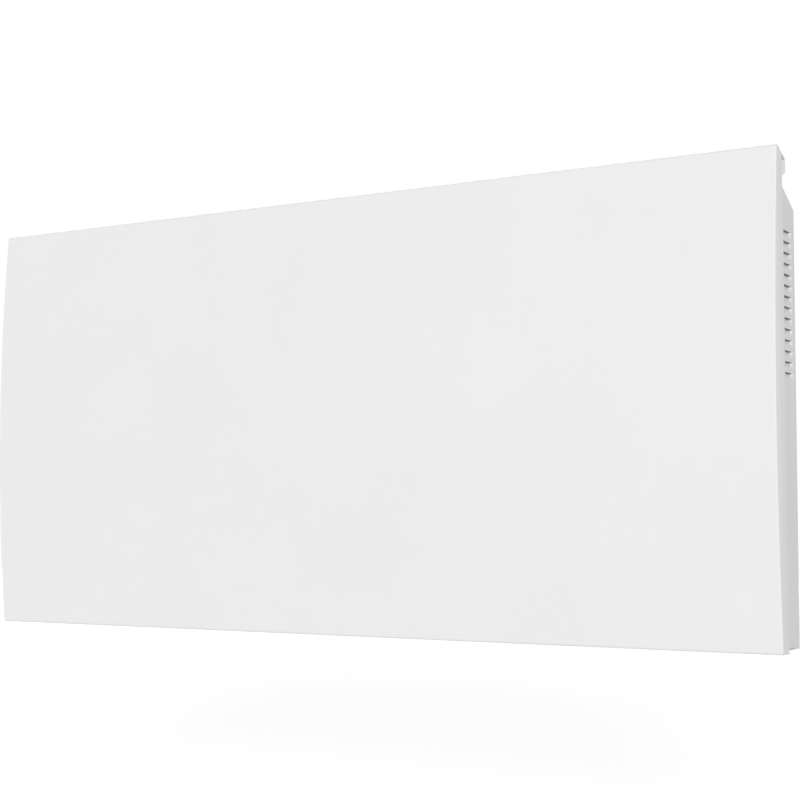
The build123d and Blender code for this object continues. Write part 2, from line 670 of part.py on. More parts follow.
def base_grille():
    """Bottom sheet with inlet slots, a rear flange, and a tab at each end."""
    fore = FLANGE_REAR + BASE_START
    points = ((fore, BODY_LIFT), (BACK_FRONT, BODY_LIFT), (BACK_FRONT, BODY_FLOOR + GRILLE_FLANGE))
    line = FilletPolyline(*points, radius=GRILLE_BEND)
    edge = offset(line, amount=BODY_SHEET, side=Side.LEFT, closed=True)
    sheet = Pos(-LONG_X, 0, 0) * extrude(Plane.YZ * make_face(edge), amount=2 * LONG_X)
    sheet += box(-SIDE_X, SIDE_X, *tab_span(0), BODY_LIFT, BODY_FLOOR)
    y0 = fore + INLET_START
    for x in slot_row(LONG_X, (-HANGER_X, HANGER_X, BAY_X, SENSOR_X), INLET_CLEAR):
        sheet -= box(x - SLOT_WIDTH / 2, x + SLOT_WIDTH / 2, y0, y0 + INLET_SLOT, 0, BODY_FLOOR + OVER)
    for x in (-HANGER_X, HANGER_X):
        sheet -= floor_hole(SCREW_RADIUS + FIT, x, foot_screw_y())
    sheet -= floor_hole(GLAND_BODY + FIT, BAY_X, GLAND_Y)
    for x, z in grille_rivets():
        sheet -= rivet_hole(x, z, BACK_FRONT - BODY_SHEET, BACK_REAR)
    return sheet


def strip_top():
    """Height of the hanging strip's upper edge."""
    return body_top(FLANGE_REAR - OUTLET_FORE) - SHEET_GAP + STRIP_RISE


def outlet_grille():
    """Sloped top sheet with outlet slots, and a flange down at the front and at the rear."""
    fore = FLANGE_REAR - OUTLET_FORE
    front, rear = body_top(fore) - SHEET_GAP, body_top(BACK_FRONT) - SHEET_GAP
    points = (
        (fore, front - STRIP_LAP),
        (fore, front),
        (BACK_FRONT, rear),
        (BACK_FRONT, rear - GRILLE_FLANGE),
    )
    line = FilletPolyline(*points, radius=GRILLE_BEND)
    edge = offset(line, amount=BODY_SHEET, side=Side.RIGHT, closed=True)
    sheet = Pos(-LONG_X, 0, 0) * extrude(Plane.YZ * make_face(edge), amount=2 * LONG_X)
    y0 = fore + OUTLET_START
    for x in slot_row(LONG_X, (), 0):
        sheet -= box(x - SLOT_WIDTH / 2, x + SLOT_WIDTH / 2, y0, y0 + OUTLET_SLOT, body_top(0), BODY_TOP)
    for x, z in grille_rivets():
        sheet -= rivet_hole(x, z, BACK_FRONT - BODY_SHEET, BACK_REAR)
    return sheet


def hanging_strip():
    """Flat strip welded to the outlet grille's front flange, over which the panel's hangers hook."""
    fore = FLANGE_REAR - OUTLET_FORE
    low = body_top(fore) - SHEET_GAP - STRIP_LAP
    return box(-LONG_X, LONG_X, fore - BODY_SHEET, fore, low, strip_top())


# ---------------------------------------------------------------- wall bracket


def upright():
    """Right upright: a channel with a hook and a keyhole in its front web."""
    x0, x1 = UPRIGHT_X - UPRIGHT_WIDTH / 2, UPRIGHT_X + UPRIGHT_WIDTH / 2
    rear = UPRIGHT_FRONT + BRACKET_SHEET
    low, high = MOUNT_CENTRE - UPRIGHT_BELOW, MOUNT_CENTRE + UPRIGHT_ABOVE
    channel = box(x0, x1, UPRIGHT_FRONT, 0, low, high)
    channel = fillet(channel.edges().filter_by(Axis.Z).group_by(Axis.Y)[0], UPRIGHT_BEND)
    channel -= box(x0 + BRACKET_SHEET, x1 - BRACKET_SHEET, rear, OVER, low - OVER, high + OVER)
    tip = BACK_FRONT - HOOK_REACH
    half = HOOK_WIDTH / 2
    low = HOOK_HEIGHT - HOOK_TONGUE
    channel += box(UPRIGHT_X - half, UPRIGHT_X + half, tip, rear, low, HOOK_HEIGHT)
    point = box(UPRIGHT_X - half, UPRIGHT_X + half, tip, tip + BRACKET_SHEET, low, HOOK_HEIGHT + HOOK_TIP)
    channel += chamfer(point.edges().filter_by(Axis.Y).group_by(Axis.Z)[-1], HOOK_CHAMFER)
    channel -= keyhole(rear)
    for z in rail_rivet_heights():
        start, end = (x0 - OVER, rail_rivet_y(), z), (x0 + BRACKET_SHEET + OVER, rail_rivet_y(), z)
        channel -= rod(RIVET_RADIUS + FIT, start, end)
    return channel


def keyhole(rear):
    """Slot for a shoulder stud, with a round hole above that its head passes."""
    width = STUD_RADIUS + STUD_PLAY
    front, back = UPRIGHT_FRONT - OVER, rear + OVER
    top = STUD_HEIGHT + LIFT
    hole = rod(width, (UPRIGHT_X, front, STUD_HEIGHT), (UPRIGHT_X, back, STUD_HEIGHT))
    hole += box(UPRIGHT_X - width, UPRIGHT_X + width, front, back, STUD_HEIGHT, top)
    hole += rod(STUD_HEAD_RADIUS + STUD_PLAY, (UPRIGHT_X, front, top), (UPRIGHT_X, back, top))
    return hole


def rail_rivet_y():
    """Y of the rivets through the rails' end tabs."""
    return -RAIL_TAB + 2 * RIVET_HEAD_RADIUS


def rail_rivet_heights():
    """Heights of the rivets through the rails' end tabs."""
    offsets = (-MOUNT_SPACING_Z / 2, MOUNT_SPACING_Z / 2)
    steps = (-RAIL_RIVET_STEP, RAIL_RIVET_STEP)
    return [MOUNT_CENTRE + rail + step for rail in offsets for step in steps]


def rail(middle):
    """A rail with stiffening lips, end tabs and two wall screw holes."""
    half = UPRIGHT_X - UPRIGHT_WIDTH / 2
    low, high = middle - RAIL_HEIGHT / 2, middle + RAIL_HEIGHT / 2
    sheet = box(-half, half, -BRACKET_SHEET, 0, low, high)
    for z in (low, high - BRACKET_SHEET):
        inner = half - RAIL_LIP_INSET
        sheet += box(-inner, inner, -RAIL_LIP, 0, z, z + BRACKET_SHEET)
    for x in (-half, half - BRACKET_SHEET):
        sheet += box(x, x + BRACKET_SHEET, -RAIL_TAB, 0, low + RAIL_TAB_INSET, high - RAIL_TAB_INSET)
    for x in (-MOUNT_SPACING_X / 2, MOUNT_SPACING_X / 2):
        sheet -= rod(WALL_SCREW_HOLE / 2, (x, -BRACKET_SHEET - OVER, middle), (x, OVER, middle))
    for z in (middle - RAIL_RIVET_STEP, middle + RAIL_RIVET_STEP):
        start, end = (-half - OVER, rail_rivet_y(), z), (half + OVER, rail_rivet_y(), z)
        sheet -= rod(RIVET_RADIUS + FIT, start, end)
    return sheet


def rail_rivets():
    """Rivets between the rails' tabs and the uprights."""
    half = UPRIGHT_X - UPRIGHT_WIDTH / 2
    y = rail_rivet_y()
    rivets = []
    for z in rail_rivet_heights():
        inner, outer = half - BRACKET_SHEET, half + BRACKET_SHEET
        one = rod(RIVET_RADIUS, (inner, y, z), (outer, y, z))
        one += rod(RIVET_HEAD_RADIUS, (inner - RIVET_HEAD, y, z), (inner, y, z))
        one += rod(RIVET_HEAD_RADIUS, (outer, y, z), (outer + RIVET_HEAD, y, z))
        rivets += both_sides(one)
    return group(rivets)


def shoulder_studs():
    """Studs on the body's back that run in the uprights' keyholes."""
    neck = UPRIGHT_FRONT + BRACKET_SHEET + STUD_PLAY
    foot = BACK_FRONT - STUD_FOOT
    x, z = UPRIGHT_X, STUD_HEIGHT
    stud = rod(STUD_RADIUS, (x, BACK_FRONT, z), (x, neck, z))
    stud += rod(STUD_HEAD_RADIUS, (x, neck, z), (x, neck + STUD_HEAD, z))
    stud += rod(STUD_HEAD_RADIUS, (x, foot, z), (x, BACK_FRONT, z))
    return group(both_sides(stud))


# ---------------------------------------------------------------- heating element


def sheath():
    """The element's straight tubular sheath."""
    half = SHEATH_LENGTH / 2
    return rod(SHEATH_RADIUS, (-half, ELEMENT_Y, ELEMENT_HEIGHT), (half, ELEMENT_Y, ELEMENT_HEIGHT))


def element_terminals():
    """Pins that stand out of the sheath's ends."""
    half = SHEATH_LENGTH / 2
    start = (half, ELEMENT_Y, ELEMENT_HEIGHT)
    end = (half + TERMINAL_LENGTH, ELEMENT_Y, ELEMENT_HEIGHT)
    return group(both_sides(rod(TERMINAL_RADIUS, start, end)))


def element_fins():
    """Extruded aluminium radiator: a boss round the sheath with wings."""
    profile = Circle(FIN_BOSS_RADIUS)
    reach = Rectangle(2 * FIN_HALF_DEPTH, 2 * FIN_WING)
    for angle in FIN_ANGLES:
        wing = Pos(FIN_WING / 2, 0) * Rectangle(FIN_WING, FIN_SHEET)
        profile += Rot(0, 0, angle) * wing
    for side in (-1, 1):
        profile += Pos(0, side * FIN_CROSS) * Rectangle(2 * FIN_HALF_DEPTH, FIN_SHEET)
    profile = profile & reach
    profile -= Circle(SHEATH_RADIUS + FIT / 2)
    plane = Plane(origin=(-FIN_LENGTH / 2, ELEMENT_Y, ELEMENT_HEIGHT), x_dir=(0, 1, 0), z_dir=(1, 0, 0))
    return extrude(plane * profile, amount=FIN_LENGTH)


def element_bushes():
    """Ceramic bushes that carry the sheath in its brackets."""
    start = HOLDER_X - HOLDER_SHEET / 2
    axis = (ELEMENT_Y, ELEMENT_HEIGHT)
    bush = rod(BUSH_FLANGE_RADIUS, (start - BUSH_FLANGE, *axis), (start, *axis))
    bush += rod(BUSH_RADIUS, (start, *axis), (start + BUSH_LENGTH, *axis))
    low, high = start - BUSH_FLANGE - OVER, start + BUSH_LENGTH + OVER
    bush -= rod(SHEATH_RADIUS + FIT / 2, (low, *axis), (high, *axis))
    return group(both_sides(bush))


def element_bracket():
    """Right element bracket: foot on the back plate, hole for the bush, flange for the shield."""
    x0 = HOLDER_X - HOLDER_SHEET / 2
    plate = box(x0, x0 + HOLDER_SHEET, SHIELD_REAR, BACK_FRONT, HOLDER_LOW, HOLDER_HIGH)
    plate += box(x0, x0 + HOLDER_FOOT, BACK_FRONT - HOLDER_SHEET, BACK_FRONT, HOLDER_LOW, HOLDER_HIGH)
    shield_flange = SHIELD_REAR + HOLDER_SHEET
    plate += box(x0 - HOLDER_FOOT, x0 + HOLDER_SHEET, SHIELD_REAR, shield_flange, HOLDER_LOW, HOLDER_HIGH)
    axis = (ELEMENT_Y, ELEMENT_HEIGHT)
    plate -= rod(BUSH_RADIUS + FIT, (x0 - OVER, *axis), (x0 + HOLDER_SHEET + OVER, *axis))
    for x, z in holder_rivets():
        plate -= rivet_hole(x, z, BACK_FRONT - HOLDER_SHEET, BACK_REAR)
    for x, z in shield_rivet_places():
        plate -= rivet_hole(x, z, SHIELD_REAR - SHIELD_SHEET, SHIELD_REAR + HOLDER_SHEET)
    return plate


def holder_rivets():
    """Rivets through the element brackets' feet."""
    x = HOLDER_X + HOLDER_FOOT / 2
    heights = (HOLDER_LOW + HOLDER_RIVET_INSET, HOLDER_HIGH - HOLDER_RIVET_INSET)
    return [(side * x, z) for side in (-1, 1) for z in heights]


def shield_rivet_places():
    """Rivets through the heat shield and the element brackets' front flanges."""
    x = HOLDER_X - HOLDER_FOOT / 2
    heights = (HOLDER_LOW + HOLDER_RIVET_INSET, HOLDER_HIGH - HOLDER_RIVET_INSET)
    return [(side * x, z) for side in (-1, 1) for z in heights]


def element_rivets():
    """Rivets of the element brackets and the heat shield."""
    rivets = [rivet(x, z, BACK_FRONT - HOLDER_SHEET, BACK_REAR) for x, z in holder_rivets()]
    for x, z in shield_rivet_places():
        rivets.append(rivet(x, z, SHIELD_REAR - SHIELD_SHEET, SHIELD_REAR + HOLDER_SHEET))
    return group(rivets)


def heat_shield():
    """Thin sheet between the element and the front panel, hemmed at both long edges."""
    half = HOLDER_X + HOLDER_SHEET / 2
    front = SHIELD_REAR - SHIELD_SHEET
    sheet = box(-half, half, front, SHIELD_REAR, SHIELD_LOW, SHIELD_HIGH)
    for z in (SHIELD_LOW, SHIELD_HIGH - SHIELD_SHEET):
        sheet += box(-half, half, front, front + SHIELD_HEM, z, z + SHIELD_SHEET)
    for x, z in shield_rivet_places():
        sheet -= rivet_hole(x, z, front, SHIELD_REAR + HOLDER_SHEET)
    return sheet


def cutout_bracket():
    """Angle on the back plate that carries the overheat cut-out."""
    half = CUTOUT_RADIUS + CUTOUT_MARGIN
    x0, x1 = CUTOUT_X - half, CUTOUT_X + half
    reach = BACK_FRONT - CUTOUT_REACH
    foot = BACK_FRONT - HOLDER_SHEET
    angle = box(x0, x1, reach, BACK_FRONT, CUTOUT_HEIGHT - HOLDER_SHEET, CUTOUT_HEIGHT)
    return angle + box(x0, x1, foot, BACK_FRONT, CUTOUT_HEIGHT - CUTOUT_FOOT, CUTOUT_HEIGHT)


def cutout_y():
    """Y of the cut-out's axis."""
    return BACK_FRONT - CUTOUT_REACH + CUTOUT_RADIUS + CUTOUT_EDGE


def thermal_cutout():
    """Disc thermostat with two blade terminals."""
    y = cutout_y()
    disc = rod(CUTOUT_RADIUS, (CUTOUT_X, y, CUTOUT_HEIGHT), (CUTOUT_X, y, CUTOUT_HEIGHT + CUTOUT_THICK))
    top = CUTOUT_HEIGHT + CUTOUT_THICK
    for side in (-1, 1):
        x = CUTOUT_X + side * CUTOUT_BLADE_X
        half, width = BLADE_THICK / 2, BLADE_WIDTH / 2
        disc += box(x - half, x + half, y - width, y + width, top, top + BLADE_LENGTH)
    return disc


# ---------------------------------------------------------------- electrical bay


def terminal_block():
    """Three-pole block on the back plate with a screw well and a wire hole at each pole."""
    x0 = BAY_X - TERMINAL_WIDTH / 2
    front = BACK_FRONT - TERMINAL_DEPTH
    low, high = TERMINAL_HEIGHT - TERMINAL_TALL / 2, TERMINAL_HEIGHT + TERMINAL_TALL / 2
    block = box(x0, x0 + TERMINAL_WIDTH, front, BACK_FRONT, low, high)
    block = chamfer(block.edges().filter_by(Axis.X).group_by(Axis.Y)[0], TERMINAL_CHAMFER)
    for x in pole_places():
        start, end = (x, front - OVER, TERMINAL_HEIGHT), (x, front + WELL_DEPTH, TERMINAL_HEIGHT)
        block -= rod(WELL_RADIUS, start, end)
    return block


def pole_places():
    """X of the terminal block's poles."""
    return [BAY_X + step * POLE_PITCH for step in (-1, 0, 1)]


def terminal_screws():
    """Clamping screws in the terminal block's wells."""
    front = BACK_FRONT - TERMINAL_DEPTH
    screws = []
    top = front + WELL_SCREW_SUNK
    half, width = DRIVER_SLOT_LENGTH / 2, DRIVER_SLOT_WIDTH / 2
    z = TERMINAL_HEIGHT
    for x in pole_places():
        screw = rod(WELL_SCREW_RADIUS, (x, top, z), (x, front + WELL_DEPTH, z))
        slot = box(x - half, x + half, front, top + DRIVER_SLOT_DEPTH, z - width, z + width)
        screws.append(screw - slot)
    return group(screws)


def earth_stud():
    """Stud on the back plate for the earth wires."""
    foot = (EARTH_X, BACK_FRONT, EARTH_HEIGHT)
    stud = rod(EARTH_RADIUS, (EARTH_X, BACK_FRONT - EARTH_LENGTH, EARTH_HEIGHT), foot)
    collar = rod(EARTH_COLLAR_RADIUS, (EARTH_X, BACK_FRONT - EARTH_COLLAR, EARTH_HEIGHT), foot)
    return stud + collar


def earth_lug():
    """Ring lug of the earth wire, seated on the stud's collar."""
    y1 = BACK_FRONT - EARTH_COLLAR
    y0 = y1 - EARTH_LUG_SHEET
    half = EARTH_LUG_WIDTH / 2
    lug = rod(EARTH_LUG_RADIUS, (EARTH_X, y0, EARTH_HEIGHT), (EARTH_X, y1, EARTH_HEIGHT))
    lug += box(EARTH_X, EARTH_X + EARTH_LUG_TAIL, y0, y1, EARTH_HEIGHT - half, EARTH_HEIGHT + half)
    hole = rod(EARTH_RADIUS + FIT, (EARTH_X, y0 - OVER, EARTH_HEIGHT), (EARTH_X, y1 + OVER, EARTH_HEIGHT))
    return lug - hole


def earth_nut():
    """Hexagon nut that clamps the earth lug."""
    y1 = BACK_FRONT - EARTH_COLLAR - EARTH_LUG_SHEET
    plane = Plane(origin=(EARTH_X, y1, EARTH_HEIGHT), z_dir=(0, -1, 0))
    nut = extrude(plane * RegularPolygon(EARTH_NUT_RADIUS, 6), amount=EARTH_NUT)
    return nut - extrude(plane * Circle(EARTH_RADIUS + FIT / 2), amount=EARTH_NUT)


def cord_gland():
    """Bushing through the base grille where a supply cord enters."""
    flange = rod(GLAND_FLANGE, (BAY_X, GLAND_Y, BODY_LIFT - GLAND_RIM), (BAY_X, GLAND_Y, BODY_LIFT))
    body = rod(GLAND_BODY, (BAY_X, GLAND_Y, BODY_LIFT), (BAY_X, GLAND_Y, BODY_LIFT + GLAND_TALL))
    return flange + body - floor_hole(GLAND_BORE, BAY_X, GLAND_Y)


def gland_nut():
    """Nut that holds the gland from inside."""
    plane = Plane.XY.offset(BODY_FLOOR) * Pos(BAY_X, GLAND_Y)
    nut = extrude(plane * RegularPolygon(GLAND_NUT_RADIUS, 6, major_radius=True), amount=GLAND_NUT)
    return nut - extrude(plane * Circle(GLAND_BODY + FIT / 2), amount=GLAND_NUT)


def sensor_holder():
    """Clip on the base grille that holds the room temperature sensor in the inlet air."""
    low = BODY_FLOOR
    width, depth, thick = SENSOR_FOOT
    post, tall = SENSOR_POST
    x0, x1 = SENSOR_X - width / 2, SENSOR_X + width / 2
    holder = box(x0, x1, SENSOR_Y - depth / 2, SENSOR_Y + depth / 2, low, low + thick)
    holder += box(x0, x1, SENSOR_Y - post / 2, SENSOR_Y + post / 2, low, low + tall)
    axis = low + SENSOR_RISE
    tube = rod(SENSOR_RADIUS + FIT, (SENSOR_X, SENSOR_Y - depth, axis), (SENSOR_X, SENSOR_Y + depth, axis))
    return holder - tube


def temperature_sensor():
    """Round sensor capsule lying in its holder."""
    z = BODY_FLOOR + SENSOR_RISE
    half = SENSOR_LENGTH / 2
    capsule = rod(SENSOR_RADIUS, (SENSOR_X, SENSOR_Y - half, z), (SENSOR_X, SENSOR_Y + half, z))
    return fillet(capsule.edges().group_by(Axis.Y)[0], SENSOR_NOSE)


def power_front():
    """Y of the power housing's open front."""
    return BACK_FRONT - POWER_DEPTH


def power_span():
    """X limits and height limits of the power housing."""
    half = POWER_WIDTH / 2
    return BAY_X - half, BAY_X + half, POWER_LOW, POWER_LOW + POWER_HEIGHT


def power_housing():
    """Plastic box on the back plate, open to the front."""
    x0, x1, z0, z1 = power_span()
    front, w = power_front(), POWER_WALL
    floor = BACK_FRONT - w
    shell = box(x0, x1, front, BACK_FRONT, z0, z1)
    shell = fillet(shell.edges().filter_by(Axis.Y), POWER_CORNER)
    shell -= box(x0 + w, x1 - w, front - OVER, floor, z0 + w, z1 - w)
    for x, z in power_bosses():
        shell += rod(POWER_BOSS_RADIUS, (x, front, z), (x, floor, z))
        shell -= rod(POWER_SCREW_RADIUS + FIT, (x, front - OVER, z), (x, floor - POWER_BOSS_SOLID, z))
    for x, z in power_board_pegs():
        shell += rod(POWER_PEG_RADIUS, (x, floor - BOARD_STANDOFF, z), (x, floor, z))
    for x, z in power_feet():
        shell -= rivet_hole(x, z, floor, BACK_FRONT)
    for step in POWER_LOWER_HOLES:
        x = BAY_X + step
        shell -= rod(WIRE_HOLE, (x, harness_y(), z0 - OVER), (x, harness_y(), z0 + w + OVER))
    for step in POWER_UPPER_HOLES:
        x = BAY_X + step
        shell -= rod(WIRE_HOLE, (x, upper_wire_y(), z1 - w - OVER), (x, upper_wire_y(), z1 + OVER))
    return shell


def harness_y():
    """Y of the wires that run along the back plate."""
    return BACK_FRONT - WIRE_STANDOFF


def upper_wire_y():
    """Y at which the control's wires enter the power housing."""
    return BACK_FRONT - POWER_DEPTH / 2


def power_bosses():
    """X and height of the power housing's two cover bosses."""
    x0, x1, z0, z1 = power_span()
    inset = POWER_BOSS_INSET
    return [(x0 + inset, z0 + inset), (x1 - inset, z1 - inset)]


def power_board_pegs():
    """X and height of the pegs that the power board stands on."""
    x0, x1, z0, z1 = power_span()
    return [(x1 - POWER_PEG_INSET, z0 + POWER_PEG_HEIGHT), (x0 + POWER_PEG_INSET, z1 - POWER_PEG_HEIGHT)]


def power_feet():
    """X and height of the rivets that hold the power housing."""
    heights = (POWER_LOW + POWER_RIVET_INSET, POWER_LOW + POWER_HEIGHT - POWER_RIVET_INSET)
    return [(BAY_X, z) for z in heights]


def power_cover():
    """Lid of the power housing with vents and two screw holes."""
    x0, x1, z0, z1 = power_span()
    front = power_front()
    lid = box(x0, x1, front - POWER_WALL, front, z0, z1)
    lid = fillet(lid.edges().filter_by(Axis.Y), POWER_CORNER)
    for x, z in power_bosses():
        lid -= rod(POWER_SCREW_RADIUS + 2 * FIT, (x, front - POWER_WALL - OVER, z), (x, front + OVER, z))
    for index in range(POWER_VENTS):
        z = (z0 + z1) / 2 + (index - (POWER_VENTS - 1) / 2) * VENT_PITCH
        half, tall = VENT_LENGTH / 2, VENT_HEIGHT / 2
        lid -= box(BAY_X - half, BAY_X + half, front - POWER_WALL - OVER, front + OVER, z - tall, z + tall)
    return lid


def power_screws():
    """Screws of the power housing's cover, and the rivets under its board."""
    screws = []
    front = power_front() - POWER_WALL
    for x, z in power_bosses():
        screw = rod(POWER_SCREW_RADIUS, (x, front, z), (x, front + POWER_SCREW_LENGTH, z))
        screws.append(screw + rod(POWER_SCREW_HEAD_RADIUS, (x, front - POWER_SCREW_HEAD, z), (x, front, z)))
    for x, z in power_feet():
        screws.append(rivet(x, z, BACK_FRONT - POWER_WALL, BACK_REAR))
    return group(screws)


def board_front():
    """Y of the power board's front face."""
    return BACK_FRONT - POWER_WALL - BOARD_STANDOFF - BOARD_THICK


def power_board():
    """Circuit board inside the power housing."""
    x0, x1, z0, z1 = power_span()
    w = POWER_WALL + BOARD_GAP
    front = board_front()
    board = box(x0 + w, x1 - w, front, front + BOARD_THICK, z0 + w, z1 - w)
    notch = POWER_BOSS_INSET + POWER_BOSS_RADIUS + BOSS_GAP
    start, end = front - OVER, front + BOARD_THICK + OVER
    board -= box(x0, x0 + notch, start, end, z0, z0 + notch)
    return board - box(x1 - notch, x1, start, end, z1 - notch, z1)


def power_components():
    """Connector, capacitor, choke, relay and transformer on the power board, in two columns."""
    y1 = board_front()
    left, right = BAY_X - COMPONENT_X, BAY_X + COMPONENT_X
    z = POWER_LOW + POWER_WALL + COMPONENT_GAP
    half = CONNECTOR_WIDTH / 2
    connector = box(BAY_X - half, BAY_X + half, y1 - CONNECTOR_TALL, y1, z, z + CONNECTOR_HEIGHT)
    z += CONNECTOR_HEIGHT + COMPONENT_GAP
    low, high = z + CAPACITOR_RADIUS, z + CHOKE_RADIUS
    capacitor = rod(CAPACITOR_RADIUS, (left, y1 - CAPACITOR_TALL, low), (left, y1, low))
    choke = rod(CHOKE_RADIUS, (right, y1 - CHOKE_TALL, high), (right, y1, high))
    z += 2 * CHOKE_RADIUS + COMPONENT_GAP
    half = RELAY_WIDTH / 2
    relay = box(left - half, left + half, y1 - RELAY_TALL, y1, z, z + RELAY_HEIGHT)
    half = TRANSFORMER_WIDTH / 2
    transformer = box(right - half, right + half, y1 - TRANSFORMER_TALL, y1, z, z + TRANSFORMER_HEIGHT)
    return group([relay, transformer, choke, capacitor, connector])


# ---------------------------------------------------------------- control unit


def control_plane():
    """Plane on the top return's outer face: X along the panel, Y down the slope, Z outwards."""
    angle = math.radians(RETURN_ANGLE)
    turn = math.pi / 2 - angle
    lean = math.asin(PANEL_HEIGHT / 2 / BOW_RADIUS)
    corner_setback = TOP_BEND / math.tan((turn + lean) / 2)
    flat_start = PANEL_EDGE + corner_setback * math.cos(angle)
    flat_end = LIP_Y - LIP_BEND * math.tan(turn / 2) * math.cos(angle)
    y = (flat_start + flat_end) / 2
    z = LIP_TOP + (LIP_Y - y) * math.tan(angle)
    normal = (0, math.sin(angle), math.cos(angle))
    return Plane(origin=(CONTROL_X, y, z), x_dir=(1, 0, 0), z_dir=normal)


def slab(x, length, width, low, high):
    """A block in the control's own frame, centred across the slope."""
    block = Box(length, width, high - low, align=(Align.CENTER, Align.CENTER, Align.MIN))
    return Pos(x, 0, low) * block


def pin(x, radius, low, high):
    """A round bar in the control's own frame, along its outward direction."""
    return Pos(x, 0, low) * Cylinder(radius, high - low, align=(Align.CENTER, Align.CENTER, Align.MIN))


def control_screw_places():
    """Places of the two control screws along the bezel."""
    half = HOUSING_LENGTH / 2 - CONTROL_BOSS_INSET
    return [HOUSING_MIDDLE - half, HOUSING_MIDDLE + half]


def control_bezel():
    """Face plate with a skirt, openings for keys, display and switch, and two screw bosses."""
    plate = slab(0, BEZEL_LENGTH, BEZEL_WIDTH, 0, BEZEL_THICK)
    plate = fillet(plate.edges().filter_by(Axis.Z), BEZEL_CORNER)
    plate = fillet(plate.faces().sort_by(Axis.Z)[-1].outer_wire().edges(), BEZEL_EDGE)
    length, width = OPENING_LENGTH - 2 * SKIRT_GAP, housing_width()
    skirt = slab(0, length, width, -BEZEL_SKIRT, 0)
    skirt -= slab(0, length - 2 * CONTROL_WALL, width - 2 * CONTROL_WALL, -BEZEL_SKIRT, 0)
    plate += skirt
    for x in control_screw_places():
        plate += pin(x, CONTROL_BOSS_RADIUS, -BEZEL_SKIRT, 0)
        plate -= pin(x, CONTROL_SCREW_RADIUS + FIT, -BEZEL_SKIRT, 0)
    top = BEZEL_THICK + OVER
    for x in BUTTON_PLACES.values():
        length, width = BUTTON_LENGTH + 2 * BUTTON_GAP, BUTTON_WIDTH + 2 * BUTTON_GAP
        plate -= slab(x, length, width, -OVER, top)
    plate -= slab(HOUSING_MIDDLE, DISPLAY_LENGTH + 2 * LENS_GAP, DISPLAY_WIDTH + 2 * LENS_GAP, -OVER, top)
    length, width = ROCKER_BODY_LENGTH + 2 * ROCKER_BODY_GAP, ROCKER_BODY_WIDTH + 2 * ROCKER_BODY_GAP
    plate -= slab(ROCKER_PLACE, length, width, -BEZEL_SKIRT - OVER, top)
    return control_plane() * plate


def housing_width():
    """Width of the bezel's skirt and of the control housing."""
    return OPENING_WIDTH - 2 * SKIRT_GAP


def control_housing():
    """Tray under the bezel that holds the control board."""
    width = housing_width()
    low = -BEZEL_SKIRT - HOUSING_DEPTH
    tray = slab(HOUSING_MIDDLE, HOUSING_LENGTH, width, low, -BEZEL_SKIRT)
    inner = HOUSING_LENGTH - 2 * CONTROL_WALL
    tray -= slab(HOUSING_MIDDLE, inner, width - 2 * CONTROL_WALL, low + CONTROL_WALL, 0)
    for x in control_screw_places():
        tray += pin(x, CONTROL_BOSS_RADIUS, low, -BEZEL_SKIRT)
        tray -= pin(x, CONTROL_SCREW_RADIUS + 2 * FIT, low - OVER, 0)
    for side in (-1, 1):
        x = HOUSING_MIDDLE + side * (HOUSING_LENGTH / 2 - CONTROL_RIB_INSET)
        tray += slab(x, CONTROL_RIB, width - CONTROL_WALL, low, -CONTROL_BOARD_DEPTH - BOARD_THICK)
    tray -= pin(cable_place(), WIRE_HOLE, low - OVER, low + CONTROL_WALL + OVER)
    return control_plane() * tray


def cable_place():
    """Where the control's cable leaves its housing, along the bezel."""
    return HOUSING_MIDDLE + HOUSING_LENGTH / 2 - CABLE_INSET


def control_board():
    """Circuit board under the keys."""
    length = HOUSING_LENGTH - 2 * CONTROL_BOARD_INSET
    width = housing_width() - 2 * CONTROL_WALL - 2 * SKIRT_GAP
    top = -CONTROL_BOARD_DEPTH
    return control_plane() * slab(HOUSING_MIDDLE, length, width, top - BOARD_THICK, top)


def display_module():
    """Display on the control board, close under the lens."""
    length, width = DISPLAY_LENGTH - 2 * DISPLAY_MARGIN, DISPLAY_WIDTH - DISPLAY_MARGIN / 2
    return control_plane() * slab(HOUSING_MIDDLE, length, width, -CONTROL_BOARD_DEPTH, -LENS_SUNK)


def display_lens():
    """Clear window, a little below the bezel's face and resting on the display."""
    lens = slab(HOUSING_MIDDLE, DISPLAY_LENGTH, DISPLAY_WIDTH, -LENS_SUNK, BEZEL_THICK - LENS_SUNK)
    return control_plane() * lens


def key_switches():
    """A small key switch on the board under each button."""
    top = -CONTROL_BOARD_DEPTH + KEY_SWITCH_TALL
    places = BUTTON_PLACES.values()
    switches = [slab(x, KEY_SWITCH, KEY_SWITCH, -CONTROL_BOARD_DEPTH, top) for x in places]
    return group([control_plane() * s for s in switches])


def button(place):
    """A key with a retaining flange and a stem over its switch."""
    cap = slab(place, BUTTON_LENGTH, BUTTON_WIDTH, -KEY_GAP, BEZEL_THICK + BUTTON_RISE)
    cap = fillet(cap.edges().filter_by(Axis.Z), BUTTON_CORNER)
    cap = fillet(cap.faces().sort_by(Axis.Z)[-1].outer_wire().edges(), BUTTON_EDGE)
    length, width = BUTTON_LENGTH + 2 * BUTTON_RIM, BUTTON_WIDTH + 2 * BUTTON_RIM
    cap += slab(place, length, width, -KEY_GAP - BUTTON_FLANGE, -KEY_GAP)
    stem_end = -CONTROL_BOARD_DEPTH + KEY_SWITCH_TALL + BUTTON_TRAVEL + KEY_GAP / 2
    cap += pin(place, BUTTON_STEM_RADIUS, stem_end, -BUTTON_FLANGE)
    return control_plane() * cap


